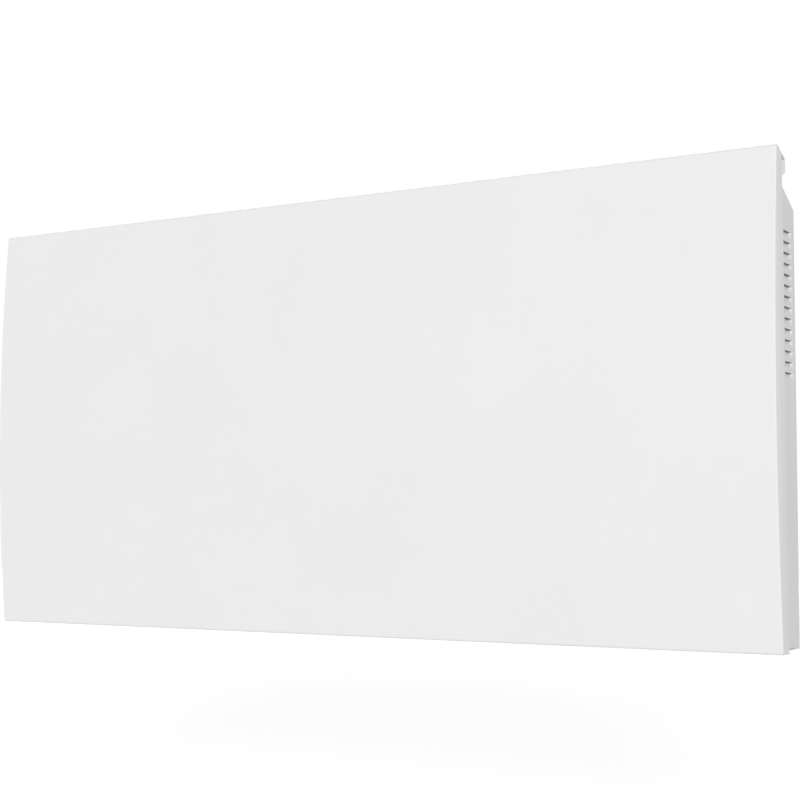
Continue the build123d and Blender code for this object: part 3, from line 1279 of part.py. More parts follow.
def control_screws():
    """Screws from below through the housing into the bezel's bosses."""
    low = -BEZEL_SKIRT - HOUSING_DEPTH
    screws = []
    for x in control_screw_places():
        screw = pin(x, CONTROL_SCREW_RADIUS, low, -CONTROL_SCREW_END)
        screw += pin(x, CONTROL_SCREW_HEAD_RADIUS, low - CONTROL_SCREW_HEAD, low)
        screws.append(control_plane() * screw)
    return group(screws)


def bezel_clips():
    """Spring clips between the bezel's skirt ends and the panel's underside."""
    clips = []
    top = -PANEL_SHEET
    start = OPENING_LENGTH / 2 - SKIRT_GAP + FIT
    for side in (-1, 1):
        arm = slab(side * (start + CLIP_LENGTH / 2), CLIP_LENGTH, CLIP_WIDTH, top - CLIP_SHEET, top)
        leg = slab(side * (start + CLIP_SHEET / 2), CLIP_SHEET, CLIP_WIDTH, -BEZEL_SKIRT, top)
        clips.append(control_plane() * (arm + leg))
    return group(clips)


def rocker_body():
    """Body of the mains switch, with a rim on the bezel and sockets for the rocker's pins."""
    top = BEZEL_THICK + ROCKER_RIM_TALL
    body = slab(ROCKER_PLACE, ROCKER_BODY_LENGTH, ROCKER_BODY_WIDTH, -ROCKER_BODY_DEPTH, BEZEL_THICK)
    length, width = ROCKER_BODY_LENGTH + 2 * ROCKER_RIM, ROCKER_BODY_WIDTH + 2 * ROCKER_RIM
    body += slab(ROCKER_PLACE, length, width, BEZEL_THICK, top)
    length, width = ROCKER_LENGTH + 2 * ROCKER_CAVITY_PLAY, ROCKER_WIDTH + 2 * ROCKER_SIDE_PLAY
    body -= slab(ROCKER_PLACE, length, width, -ROCKER_BODY_DEPTH + ROCKER_FLOOR, top + OVER)
    socket = 2 * (ROCKER_PIN_REACH + ROCKER_BODY_GAP)
    body -= rocker_pin(ROCKER_PIN_RADIUS + ROCKER_PIN_PLAY, ROCKER_WIDTH + socket)
    low = -ROCKER_BODY_DEPTH - ROCKER_BLADE_LENGTH
    for step in (-ROCKER_BLADE_X, ROCKER_BLADE_X):
        body += slab(ROCKER_PLACE + step, BLADE_THICK, BLADE_WIDTH, low, -ROCKER_BODY_DEPTH)
    return control_plane() * body


def rocker_pin(radius, length):
    """The rocker's pivot, across the slope."""
    height = BEZEL_THICK - ROCKER_PIVOT_DEPTH
    return Pos(ROCKER_PLACE, 0, height) * (Rot(90, 0, 0) * Cylinder(radius, length))


def rocker():
    """Rocker in its off position."""
    half, foot = ROCKER_LENGTH / 2, ROCKER_LENGTH / 2 - ROCKER_TAPER
    top = ((-half, ROCKER_CREST), (0, ROCKER_VALLEY), (half, ROCKER_CREST))
    outline = Polyline(*top, (foot, -ROCKER_KEEL), (-foot, -ROCKER_KEEL), close=True)
    plane = Plane(origin=(0, ROCKER_WIDTH / 2, 0), x_dir=(1, 0, 0), z_dir=(0, -1, 0))
    cap = extrude(plane * make_face(outline), amount=ROCKER_WIDTH)
    cap = fillet(cap.edges().filter_by(Axis.Y).group_by(Axis.Z)[-1], ROCKER_EDGE)
    cap = Pos(ROCKER_PLACE, 0, BEZEL_THICK - ROCKER_PIVOT_DEPTH) * (Rot(0, ROCKER_SWING, 0) * cap)
    return control_plane() * (cap + rocker_pin(ROCKER_PIN_RADIUS, ROCKER_WIDTH + 2 * ROCKER_PIN_REACH))


# ---------------------------------------------------------------- inner wires


def wire(points, bends):
    """An insulated wire of straight runs joined by arcs, one bend radius for each corner."""
    path = FilletPolyline(*points, radius=bends)
    start = Plane(origin=path @ 0, z_dir=path % 0)
    return sweep(start * Circle(WIRE_RADIUS), path=path)


def control_point(x, depth):
    """A point under the top return, a depth below its outer face."""
    return (control_plane() * Pos(x, 0, -depth)).position


def mains_wires():
    """Live and neutral from the terminal block, both wires of the mains switch, and the earth wire."""
    y = harness_y()
    low = TERMINAL_HEIGHT + TERMINAL_TALL / 2
    top = POWER_LOW + POWER_WALL
    pole, hole = BAY_X + POLE_PITCH, BAY_X + POWER_LOWER_HOLES[3]
    shift_low, shift_high = (2 * low + top) / 3, (low + 2 * top) / 3
    shifted = ((pole, y, low), (pole, y, shift_low), (hole, y, shift_high), (hole, y, top))
    tubes = [rod(WIRE_RADIUS, (BAY_X, y, low), (BAY_X, y, top)), wire(shifted, [WIDE_BEND, WIDE_BEND])]
    depth = ROCKER_BODY_DEPTH + ROCKER_BLADE_LENGTH + WIRE_GAP
    for side, step in ((-1, POWER_UPPER_HOLES[1]), (1, POWER_UPPER_HOLES[2])):
        tubes.append(drop_wire(ROCKER_PLACE + side * ROCKER_BLADE_X, depth, BAY_X + step))
    tubes.append(earth_wire())
    return group(tubes)


def drop_wire(place, depth, hole):
    """A wire from under the control unit down to a hole in the power housing's top."""
    start = control_point(place, depth)
    below = control_point(place, depth + DROP_LEAD)
    y, top = upper_wire_y(), POWER_LOW + POWER_HEIGHT
    drop = below.Z - top
    bend = (below.X, below.Y + DROP_LEAD, top + DROP_BEND_SHARE * drop)
    entry = (hole, y, top + DROP_ENTRY_SHARE * drop)
    return wire((start, below, bend, entry, (hole, y, top - POWER_WALL)), [SNUG_BEND, EASY_BEND, EASY_BEND])


def earth_wire():
    """From the terminal block's earth pole to the lug's tail."""
    y = BACK_FRONT - EARTH_COLLAR - EARTH_LUG_SHEET - WIRE_RADIUS - WIRE_GAP
    x = BAY_X - POLE_PITCH
    low = TERMINAL_HEIGHT - TERMINAL_TALL / 2
    end = EARTH_X + EARTH_LUG_TAIL / 2
    return wire(((x, y, low), (x, y, EARTH_HEIGHT), (end, y, EARTH_HEIGHT)), [SNUG_BEND])


def element_wires():
    """From the power housing to the element's right end, to the cut-out, and on to its left end."""
    y, blade_y = harness_y(), cutout_y()
    top = POWER_LOW + POWER_WALL
    pin_x = SHEATH_LENGTH / 2 + TERMINAL_LENGTH * PIN_WIRE_SHARE
    pin_top = ELEMENT_HEIGHT + TERMINAL_RADIUS + WIRE_GAP
    drop = HARNESS_HEIGHT - ELEMENT_HEIGHT
    high, low = ELEMENT_HEIGHT + LEAN_HIGH_SHARE * drop, ELEMENT_HEIGHT + LEAN_LOW_SHARE * drop
    hole = BAY_X + POWER_LOWER_HOLES[1]
    right = ((hole, y, top), (hole, y, high), (pin_x, ELEMENT_Y, low), (pin_x, ELEMENT_Y, pin_top))
    blade_end = BLADE_TOP + WIRE_GAP
    feed_x, leave_x = CUTOUT_X + CUTOUT_BLADE_X, CUTOUT_X - CUTOUT_BLADE_X
    hole = BAY_X + POWER_LOWER_HOLES[0]
    feed = (
        (hole, y, top),
        (hole, y, HARNESS_HEIGHT),
        (feed_x, y, HARNESS_HEIGHT),
        (feed_x, blade_y, blade_end + BLADE_RUN),
        (feed_x, blade_y, blade_end),
    )
    left = (
        (leave_x, blade_y, blade_end),
        (leave_x, blade_y, blade_end + BLADE_RUN),
        (leave_x, y, HARNESS_HEIGHT),
        (-pin_x, y, HARNESS_HEIGHT),
        (-pin_x, y, high),
        (-pin_x, ELEMENT_Y, low),
        (-pin_x, ELEMENT_Y, pin_top),
    )
    snug, easy, wide = SNUG_BEND, EASY_BEND, LEAN_BEND
    tubes = [wire(right, [wide, wide]), wire(feed, [snug, snug, snug])]
    return group(tubes + [wire(left, [snug, snug, easy, wide, wide])])


def signal_cables():
    """The sensor's lead and the control board's cable, both to the power housing."""
    y = harness_y()
    sensor_z = BODY_FLOOR + SENSOR_RISE
    hole = BAY_X + POWER_LOWER_HOLES[4]
    lead = (
        (SENSOR_X, SENSOR_Y + SENSOR_LENGTH / 2, sensor_z),
        (SENSOR_X, y, sensor_z),
        (SENSOR_X, y, POWER_LOW - LEAD_SHIFT_LOW),
        (hole, y, POWER_LOW - LEAD_SHIFT_HIGH),
        (hole, y, POWER_LOW + POWER_WALL),
    )
    depth = BEZEL_SKIRT + HOUSING_DEPTH - CONTROL_WALL
    cable = drop_wire(cable_place(), depth, BAY_X + POWER_UPPER_HOLES[0])
    return group([wire(lead, [SNUG_BEND, LEAD_BEND, LEAD_BEND]), cable])


def clip_places(start, end):
    """X of evenly spaced clips along a stretch of the harness."""
    count = int((end - start) // WIRE_CLIP_PITCH)
    step = (end - start) / count
    return [start + (index + 0.5) * step for index in range(count)]


def wire_clips():
    """Saddles on the back plate that hold the harness and the sensor's lead."""
    y = harness_y()
    long, half = WIRE_CLIP_LENGTH / 2, WIRE_CLIP_HALF
    hole = WIRE_RADIUS + FIT
    clips = []
    left = clip_places(-SHEATH_LENGTH / 2, CUTOUT_X - CUTOUT_BLADE_X)
    right = clip_places(CUTOUT_X + CUTOUT_BLADE_X, BAY_X + POWER_LOWER_HOLES[0])
    z = HARNESS_HEIGHT
    for x in left + right:
        saddle = box(x - long, x + long, y - half, BACK_FRONT, z - half, z + half)
        clips.append(saddle - rod(hole, (x - long - OVER, y, z), (x + long + OVER, y, z)))
    x = SENSOR_X
    for z in (BODY_FLOOR + SENSOR_RISE + LEAD_CLIP_RISE, POWER_LOW - LEAD_CLIP_DROP):
        saddle = box(x - half, x + half, y - half, BACK_FRONT, z - long, z + long)
        clips.append(saddle - rod(hole, (x, y, z - long - OVER), (x, y, z + long + OVER)))
    return group(clips)


def build_all():
    """Every node by name."""
    hanger, foot, side, holder = panel_hanger(), panel_foot(), side_plate(), element_bracket()
    uprights = both_sides(upright())
    nodes = {
        "front_panel": front_panel(),
        "panel_hanger_left": mirror(hanger, about=Plane.YZ),
        "panel_hanger_right": hanger,
        "panel_foot_left": mirror(foot, about=Plane.YZ),
        "panel_foot_right": foot,
        "panel_screws": panel_screws(),
        "side_plate_left": mirror(side, about=Plane.YZ),
        "side_plate_right": side,
        "back_plate": back_plate(),
        "base_grille": base_grille(),
        "outlet_grille": outlet_grille(),
        "hanging_strip": hanging_strip(),
        "body_rivets": body_rivets(),
        "shoulder_studs": shoulder_studs(),
        "bracket_upright_left": uprights[1],
        "bracket_upright_right": uprights[0],
        "bracket_rail_upper": rail(MOUNT_CENTRE + MOUNT_SPACING_Z / 2),
        "bracket_rail_lower": rail(MOUNT_CENTRE - MOUNT_SPACING_Z / 2),
        "bracket_rivets": rail_rivets(),
        "element_sheath": sheath(),
        "element_terminals": element_terminals(),
        "element_fins": element_fins(),
        "element_bushes": element_bushes(),
        "element_bracket_left": mirror(holder, about=Plane.YZ),
        "element_bracket_right": holder,
        "element_rivets": element_rivets(),
        "heat_shield": heat_shield(),
        "cutout_bracket": cutout_bracket(),
        "thermal_cutout": thermal_cutout(),
        "terminal_block": terminal_block(),
        "terminal_screws": terminal_screws(),
        "earth_stud": earth_stud(),
        "earth_lug": earth_lug(),
        "earth_nut": earth_nut(),
        "cord_gland": cord_gland(),
        "gland_nut": gland_nut(),
        "sensor_holder": sensor_holder(),
        "temperature_sensor": temperature_sensor(),
        "power_housing": power_housing(),
        "power_cover": power_cover(),
        "power_screws": power_screws(),
        "power_board": power_board(),
        "power_components": power_components(),
        "control_bezel": control_bezel(),
        "control_housing": control_housing(),
        "control_board": control_board(),
        "control_screws": control_screws(),
        "display_module": display_module(),
        "display_lens": display_lens(),
        "key_switches": key_switches(),
        "bezel_clips": bezel_clips(),
        "rocker_body": rocker_body(),
        "power_rocker": rocker(),
        "mains_wires": mains_wires(),
        "element_wires": element_wires(),
        "signal_cables": signal_cables(),
        "wire_clips": wire_clips(),
    }
    for name, place in BUTTON_PLACES.items():
        nodes[name] = button(place)
    return nodes


def save(name, shape):
    """Writes one node in the row's frame."""
    placed = Pos(0, 0, -MOUNT_CENTRE) * shape
    export_step(placed, os.path.join("parts", name + ".step"))


os.makedirs("parts", exist_ok=True)
for node_name, node_shape in build_all().items():
    save(node_name, node_shape)
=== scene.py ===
"""The wall heater's looks, in metres, in the CAD model's frame."""

import json
import math

import bmesh
import bpy
from mathutils import Euler, Matrix, Vector


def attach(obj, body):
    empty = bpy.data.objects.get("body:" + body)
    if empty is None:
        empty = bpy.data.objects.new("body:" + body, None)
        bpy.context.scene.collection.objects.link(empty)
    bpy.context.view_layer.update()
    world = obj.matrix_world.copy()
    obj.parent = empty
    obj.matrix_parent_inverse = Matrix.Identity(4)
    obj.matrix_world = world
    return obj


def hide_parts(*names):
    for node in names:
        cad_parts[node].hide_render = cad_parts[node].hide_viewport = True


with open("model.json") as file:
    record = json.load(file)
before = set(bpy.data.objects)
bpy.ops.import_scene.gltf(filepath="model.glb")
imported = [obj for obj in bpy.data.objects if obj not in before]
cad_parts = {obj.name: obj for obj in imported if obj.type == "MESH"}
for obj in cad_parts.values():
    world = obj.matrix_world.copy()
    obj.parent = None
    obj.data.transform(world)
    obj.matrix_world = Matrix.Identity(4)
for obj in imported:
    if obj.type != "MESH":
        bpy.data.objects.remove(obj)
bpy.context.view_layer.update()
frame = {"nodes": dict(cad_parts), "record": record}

# Sizes in mm, heights from the panel's bottom edge, Y from the wall, as in the CAD model
MM = 0.001
Z0 = -175.0  # the panel's bottom edge in the frame
SHEET = 1.0
NEAR = 0.01  # two places nearer than this are the same
MERGE = 1e-6  # metres between points that become one
SMOOTH = 35.0  # degrees between two faces, over which their edge is sharp
SIDE_SMOOTH = 30.0
TURNED_SMOOTH = 40.0

# Front panel
PANEL_HALF = 384.0
PANEL_HEIGHT = 370.0
PANEL_BOW = 8.3
BOW_RADIUS = (PANEL_HEIGHT**2 / 4 + PANEL_BOW**2) / (2 * PANEL_BOW)
BOW_STEP = 12.0
COLUMN_STEP = 30.0
FLANGE_REAR = -60.0
FLANGE_DEPTH = 12.0  # at the panel's top and bottom edges
FLANGE_RELIEF = 0.4  # behind the flange, over which the rolled edge turns flat
PANEL_EDGE = FLANGE_REAR - FLANGE_DEPTH
PANEL_CREST = PANEL_EDGE - PANEL_BOW
SIDE_BEND = 0.5
ROLL_TURNS = (22.5, 45, 67.5, 90)  # degrees round the side's bend
RELIEF_ROLL = 0.6  # the flange's top corner is cut from this far round the side's bend, in radians
RELIEF_REACH = 0.75  # of the top bend's radius
BOTTOM_BEND = 1.5
BOTTOM_REACH = 3.8  # bottom return behind the flange
TOP_BEND = 2.5
RETURN_ANGLE = math.radians(26.6)
RETURN_REACH = 7.1  # top return behind the flange
RETURN_DROP = 8.0
LIP_Y = FLANGE_REAR + RETURN_REACH
LIP_TOP = PANEL_HEIGHT - RETURN_DROP
LIP_BEND = 1.6
LIP_HEIGHT = 11.3
LIP_CORNER = 2.4
CORNER_TURNS = (12, 24, 36)  # degrees round the lip's corner

# Rear body
BODY_TOP = PANEL_HEIGHT - 26.7  # at the flange's rear edge
BODY_SLOPE = math.tan(math.radians(29.3))
BODY_LIFT = 2.2
BODY_REAR = -30.0
BACK_FRONT = BODY_REAR - 2 * SHEET
SIDE_X = PANEL_HALF - 1.2
SIDE_FORE = FLANGE_REAR - 8.0
REAR_FLANGE = 18.0
REAR_BEND = 1.6
END_GAP = 0.1
LONG_X = SIDE_X - REAR_BEND - END_GAP  # ends of the long sheets
LOUVRE_COUNT = 14
LOUVRE_TOP = BODY_TOP - 33.5
LOUVRE_PITCH = 8.08
LOUVRE_START = FLANGE_REAR + 4.5
LOUVRE_LENGTH = 17.4
LOUVRE_HEIGHT = 4.7
LOUVRE_DEPTH = 2.3
LOUVRE_END = 2.4  # length of the pressed slope at each end
LOUVRE_CURVE = 1.35  # power by which a louvre's depth runs out below its mouth
LOUVRE_STEP = 2.5
LOUVRE_END_STEP = 0.65
LOUVRE_FALLS = (0, 0.2, 0.4, 0.6, 0.8, 0.92, 1)  # shares of the louvre's height
TAB_ENDS = (FLANGE_REAR + 4.0, FLANGE_REAR + 18.0)  # Y of the base grille's end tabs
TAB_GAP = 0.3
NOTCH_TOP = BODY_LIFT + SHEET + TAB_GAP

# Grilles
SHEET_GAP = 0.2
GRILLE_FLANGE = 14.0
GRILLE_BEND = 1.4
GRILLE_FORE = FLANGE_REAR - 2.0
STRIP_LAP = 6.0
BASE_FORE = FLANGE_REAR + 1.0
SLOT_COUNT = 73
SLOT_PITCH = 10.0
SLOT_HALF = 2.25
OUTLET_SLOTS = (GRILLE_FORE + 4.0, GRILLE_FORE + 24.0)  # Y of the slots' ends
INLET_SLOTS = (BASE_FORE + 4.5, BASE_FORE + 22.5)
SLOT_EDGE = 1.5  # from the slots' ends to the edges of their band
HALF_TURNS = 8  # sides of half a round hole
FOOT_X = 205.0
GLAND = (343.0, -48.0, 6.3)  # X, Y and radius of its hole
INLET_CLEAR = 12.0

# Rivets and screws
TURNED_SIDES = 20
RIVET_HEAD = 0.9
RIVET_SHANK = 0.5  # of the head's radius
# Share of the head's radius and depth below its top, from the middle out to the rim
RIVET_DOME = ((0, 0.3), (0.24, 0.28), (0.3, 0.02), (0.52, 0.08), (0.76, 0.3), (0.92, 0.58), (1, RIVET_HEAD))
RECESS = (1.7, 0.35, 0.9)  # reach, half width and depth of a screw's cross recess
SCREW_HEAD = ((2.5, 0), (3.1, 0.25), (3.5, 0.8), (3.5, 1.6))  # radius and height above the head's face
SCREW_SHANK = 2
SCREW_TIP = (1.4, 0.7)  # radius and length

# Controls, along X from the control strip's middle and out of the top return
CONTROL_X = 300.0
OPENING_HALF = 52.0
OPENING_WIDTH = 12.4
INK = 0.05  # how far a mark stands above its face
RING_SIDES = 24
KEY_TOP = 2.2
KEY_PLACES = {"minus": -39.0, "plus": -30.0, "mode": 15.0}
SIGN_REACH = 1.3
SIGN_HALF = 0.22
MODE_BAR = (1.2, 0.2)  # half length and half width
MODE_STEP = 1.0
LENS_TOP = 1.3
DISPLAY_X = -8.0
DIGIT = (2.6, 5.2)  # width and height
DIGIT_STARTS = (-4.4, -0.6)  # from the display's middle
SEGMENT_HALF = 0.2
SEGMENT_GAPS = (0.35, 0.3)  # at the ends of a level and of an upright segment
DEGREE_X = 4.6
DEGREE_RING = (0.5, 0.13)  # radius and half width of its line
ROCKER_X = 43.0
ROCKER_PIVOT = -0.2
ROCKER_HALF = 6.0
ROCKER_CREST = 3.6
ROCKER_VALLEY = 2.6
ROCKER_SWING = math.radians(10)
ROCKER_MARK = 3.4  # marks from the rocker's middle
ON_BAR = (0.25, 1.3)
OFF_RING = (1.1, 0.22)

# Camera and light in metres
CAMERA_PLACE = (0.7693, -1.2202, -0.0755)
CAMERA_TURN = (93.135, 0.0, 31.61)  # degrees about X, Y and Z
CAMERA_ROLL = -0.06
CAMERA_LENS = 73.83
CAMERA_SHIFT = (-0.00025, 0.0334)
FLOOR_SIZE = 12
FLOOR_LEVEL = -0.36
AMBIENT = 0.372
LIGHTS = {
    "front_soft": ((9.0, -17.0, 5.2), 6.0, 2540.0),  # place, side and power
    "back_soft": ((-4.0, 7.0, 3.0), 3.0, 300.0),
}


# ---------------------------------------------------------------- camera, studio


def make_camera():
    """The camera at the photograph's viewing angle."""
    data = bpy.data.cameras.new("photo_camera")
    data.lens = CAMERA_LENS
    data.sensor_width = 36.0
    data.shift_x, data.shift_y = CAMERA_SHIFT
    data.clip_start, data.clip_end = 0.05, 60.0
    camera = bpy.data.objects.new("photo_camera", data)
    turn = Euler([math.radians(angle) for angle in CAMERA_TURN]).to_matrix()
    turn = turn @ Matrix.Rotation(math.radians(CAMERA_ROLL), 3, "Z")
    camera.matrix_world = Matrix.Translation(CAMERA_PLACE) @ turn.to_4x4()
    bpy.context.scene.collection.objects.link(camera)
    bpy.context.scene.camera = camera


def seen_rays(tree):
    """1 on camera, glossy and transmission rays, else 0."""
    path = tree.nodes.new("ShaderNodeLightPath")
    first = tree.nodes.new("ShaderNodeMath")
    first.operation = "MAXIMUM"
    tree.links.new(path.outputs["Is Camera Ray"], first.inputs[0])
    tree.links.new(path.outputs["Is Glossy Ray"], first.inputs[1])
    both = tree.nodes.new("ShaderNodeMath")
    both.operation = "MAXIMUM"
    tree.links.new(first.outputs[0], both.inputs[0])
    tree.links.new(path.outputs["Is Transmission Ray"], both.inputs[1])
    return both.outputs[0]


def make_world():
    """Even light from all round, shown as plain white."""
    world = bpy.data.worlds.new("studio")
    world.use_nodes = True
    tree = world.node_tree
    tree.nodes.clear()
    out = tree.nodes.new("ShaderNodeOutputWorld")
    mix = tree.nodes.new("ShaderNodeMixShader")
    lit = tree.nodes.new("ShaderNodeBackground")
    lit.inputs["Color"].default_value = (1, 1, 1, 1)
    lit.inputs["Strength"].default_value = AMBIENT
    shown = tree.nodes.new("ShaderNodeBackground")
    shown.inputs["Color"].default_value = (1, 1, 1, 1)
    shown.inputs["Strength"].default_value = 1.0
    tree.links.new(seen_rays(tree), mix.inputs[0])
    tree.links.new(lit.outputs[0], mix.inputs[1])
    tree.links.new(shown.outputs[0], mix.inputs[2])
    tree.links.new(mix.outputs[0], out.inputs[0])
    bpy.context.scene.world = world


def make_floor():
    """A plain white floor that keeps the object's shadow."""
    bpy.ops.mesh.primitive_plane_add(size=FLOOR_SIZE, location=(0, 0, FLOOR_LEVEL))
    floor = bpy.context.object
    floor.name = "floor"
    material = bpy.data.materials.new("floor_white")
    material.use_nodes = True
    tree = material.node_tree
    tree.nodes.clear()
    out = tree.nodes.new("ShaderNodeOutputMaterial")
    mix = tree.nodes.new("ShaderNodeMixShader")
    plain = tree.nodes.new("ShaderNodeBsdfDiffuse")
    plain.inputs["Color"].default_value = (0.8, 0.8, 0.8, 1)
    shown = tree.nodes.new("ShaderNodeAddShader")
    grey = tree.nodes.new("ShaderNodeBsdfDiffuse")
    grey.inputs["Color"].default_value = (0.45, 0.45, 0.45, 1)
    glow = tree.nodes.new("ShaderNodeEmission")
    glow.inputs["Color"].default_value = (1, 1, 1, 1)
    glow.inputs["Strength"].default_value = 0.7
    tree.links.new(grey.outputs[0], shown.inputs[0])
    tree.links.new(glow.outputs[0], shown.inputs[1])
    tree.links.new(seen_rays(tree), mix.inputs[0])
    tree.links.new(plain.outputs[0], mix.inputs[1])
    tree.links.new(shown.outputs[0], mix.inputs[2])
    tree.links.new(mix.outputs[0], out.inputs[0])
    floor.data.materials.append(material)


def area_light(name, place, side, power):
    """A square lamp aimed at the origin."""
    data = bpy.data.lights.new(name, "AREA")
    data.shape = "SQUARE"
    data.size = side
    data.energy = power
    lamp = bpy.data.objects.new(name, data)
    lamp.location = place
    lamp.rotation_mode = "QUATERNION"
    lamp.rotation_quaternion = (-Vector(place)).to_track_quat("-Z", "Y")
    bpy.context.scene.collection.objects.link(lamp)


# ---------------------------------------------------------------- materials


def principled(name):
    """A new material with its node tree and its shader."""
    material = bpy.data.materials.new(name)
    material.use_nodes = True
    tree = material.node_tree
    return material, tree, tree.nodes["Principled BSDF"]


def noise(tree, coords, scale, detail=2.0):
    """Cloudy noise from 0 to 1."""
    node = tree.nodes.new("ShaderNodeTexNoise")
    node.inputs["Scale"].default_value = scale
    node.inputs["Detail"].default_value = detail
    tree.links.new(coords, node.inputs["Vector"])
    return node.outputs["Fac"]


def object_coords(tree):
    """Coordinates that stay with a piece when it moves."""
    return tree.nodes.new("ShaderNodeTexCoord").outputs["Object"]


def ramp(tree, value, low, high, at=(0.3, 0.7)):
    """A value turned into a colour between two others."""
    node = tree.nodes.new("ShaderNodeValToRGB")
    node.color_ramp.elements[0].position = at[0]
    node.color_ramp.elements[1].position = at[1]
    node.color_ramp.elements[0].color = (*low, 1)
    node.color_ramp.elements[1].color = (*high, 1)
    tree.links.new(value, node.inputs[0])
    return node.outputs[0]


def spread(tree, value, low, high):
    """A value from 0 to 1 spread between two others."""
    node = tree.nodes.new("ShaderNodeMapRange")
    node.inputs["To Min"].default_value = low
    node.inputs["To Max"].default_value = high
    tree.links.new(value, node.inputs["Value"])
    return node.outputs[0]


def bump(tree, bsdf, height, strength, distance):
    """Fine unevenness of a shader's surface."""
    node = tree.nodes.new("ShaderNodeBump")
    node.inputs["Strength"].default_value = strength
    node.inputs["Distance"].default_value = distance
    tree.links.new(height, node.inputs["Height"])
    tree.links.new(node.outputs[0], bsdf.inputs["Normal"])


def clouded(tree, coords, colour, scale, share):
    """A colour that drifts by a small share of itself."""
    low, high = [tuple(c * k for c in colour) for k in (1 - share, 1 + share)]
    return ramp(tree, noise(tree, coords, scale, detail=3.0), low, high)


def powder_coat(name, value, rough):
    """Matt paint with a fine orange peel."""
    material, tree, bsdf = principled(name)
    coords = object_coords(tree)
    colour = clouded(tree, coords, (value, value, value), scale=9.0, share=0.008)
    tree.links.new(colour, bsdf.inputs["Base Color"])
    speck = noise(tree, coords, scale=700.0)
    tree.links.new(spread(tree, speck, rough - 0.05, rough + 0.05), bsdf.inputs["Roughness"])
    bump(tree, bsdf, speck, strength=0.06, distance=0.0004)
    return material


def metal(name, low, high, rough, scale, stretch=None):
    """Bare metal with a grain between two colours, drawn out where it is stretched."""
    material, tree, bsdf = principled(name)
    coords = object_coords(tree)
    if stretch:
        mapping = tree.nodes.new("ShaderNodeMapping")
        mapping.inputs["Scale"].default_value = stretch
        tree.links.new(coords, mapping.inputs["Vector"])
        coords = mapping.outputs[0]
    grain = noise(tree, coords, scale, detail=4.0)
    tree.links.new(ramp(tree, grain, low, high), bsdf.inputs["Base Color"])
    tree.links.new(spread(tree, grain, rough - 0.08, rough + 0.08), bsdf.inputs["Roughness"])
    bsdf.inputs["Metallic"].default_value = 1.0
    bump(tree, bsdf, grain, strength=0.08, distance=0.0002)
    return material


def galvanised(name):
    """Zinc-coated steel with its spangle of small crystals."""
    material, tree, bsdf = principled(name)
    coords = object_coords(tree)
    cells = tree.nodes.new("ShaderNodeTexVoronoi")
    cells.inputs["Scale"].default_value = 340.0
    tree.links.new(coords, cells.inputs["Vector"])
    tone = tree.nodes.new("ShaderNodeRGBToBW")
    tree.links.new(cells.outputs["Color"], tone.inputs[0])
    colour = ramp(tree, tone.outputs[0], (0.52, 0.53, 0.55), (0.62, 0.63, 0.65))
    tree.links.new(colour, bsdf.inputs["Base Color"])
    tree.links.new(spread(tree, tone.outputs[0], 0.32, 0.52), bsdf.inputs["Roughness"])
    bsdf.inputs["Metallic"].default_value = 1.0
    bump(tree, bsdf, noise(tree, coords, scale=900.0), strength=0.08, distance=0.0002)
    return material


def plastic(name, colour, rough, grain_scale=1600.0):
    """Moulded plastic with a fine grain."""
    material, tree, bsdf = principled(name)
    coords = object_coords(tree)
    shade = clouded(tree, coords, colour, scale=60.0, share=0.015)
    tree.links.new(shade, bsdf.inputs["Base Color"])
    grain = noise(tree, coords, grain_scale)
    tree.links.new(spread(tree, grain, rough - 0.06, rough + 0.06), bsdf.inputs["Roughness"])
    bump(tree, bsdf, grain, strength=0.08, distance=0.0002)
    return material


def make_materials():
    """Each material slot's finish."""
    brushed = (0.05, 1, 1)
    return {
        "panel_paint": powder_coat("panel_paint", 0.84, 0.5),
        "body_paint": powder_coat("body_paint", 0.752, 0.45),
        "galvanised": galvanised("galvanised"),
        "bright_steel": metal("bright_steel", (0.44, 0.45, 0.47), (0.6, 0.61, 0.63), 0.38, 600.0),
        "stainless": metal("stainless", (0.45, 0.45, 0.46), (0.6, 0.6, 0.61), 0.35, 300.0, brushed),
        "aluminium": metal("aluminium", (0.62, 0.63, 0.65), (0.74, 0.75, 0.76), 0.38, 300.0, brushed),
        "ceramic": plastic("ceramic", (0.78, 0.75, 0.68), 0.45),
        "white_plastic": plastic("white_plastic", (0.8, 0.8, 0.79), 0.38),
        "grey_plastic": plastic("grey_plastic", (0.3, 0.31, 0.32), 0.5),
        "black_plastic": plastic("black_plastic", (0.03, 0.03, 0.032), 0.45),
        "lens": plastic("lens", (0.02, 0.021, 0.024), 0.12, grain_scale=400.0),
        "circuit_board": plastic("circuit_board", (0.04, 0.16, 0.08), 0.4),
        "components": plastic("components", (0.06, 0.07, 0.12), 0.45),
        "brass": metal("brass", (0.62, 0.47, 0.2), (0.75, 0.6, 0.3), 0.3, 500.0),
        "wire_sleeve": plastic("wire_sleeve", (0.5, 0.48, 0.44), 0.5),
    }


# ---------------------------------------------------------------- piece making


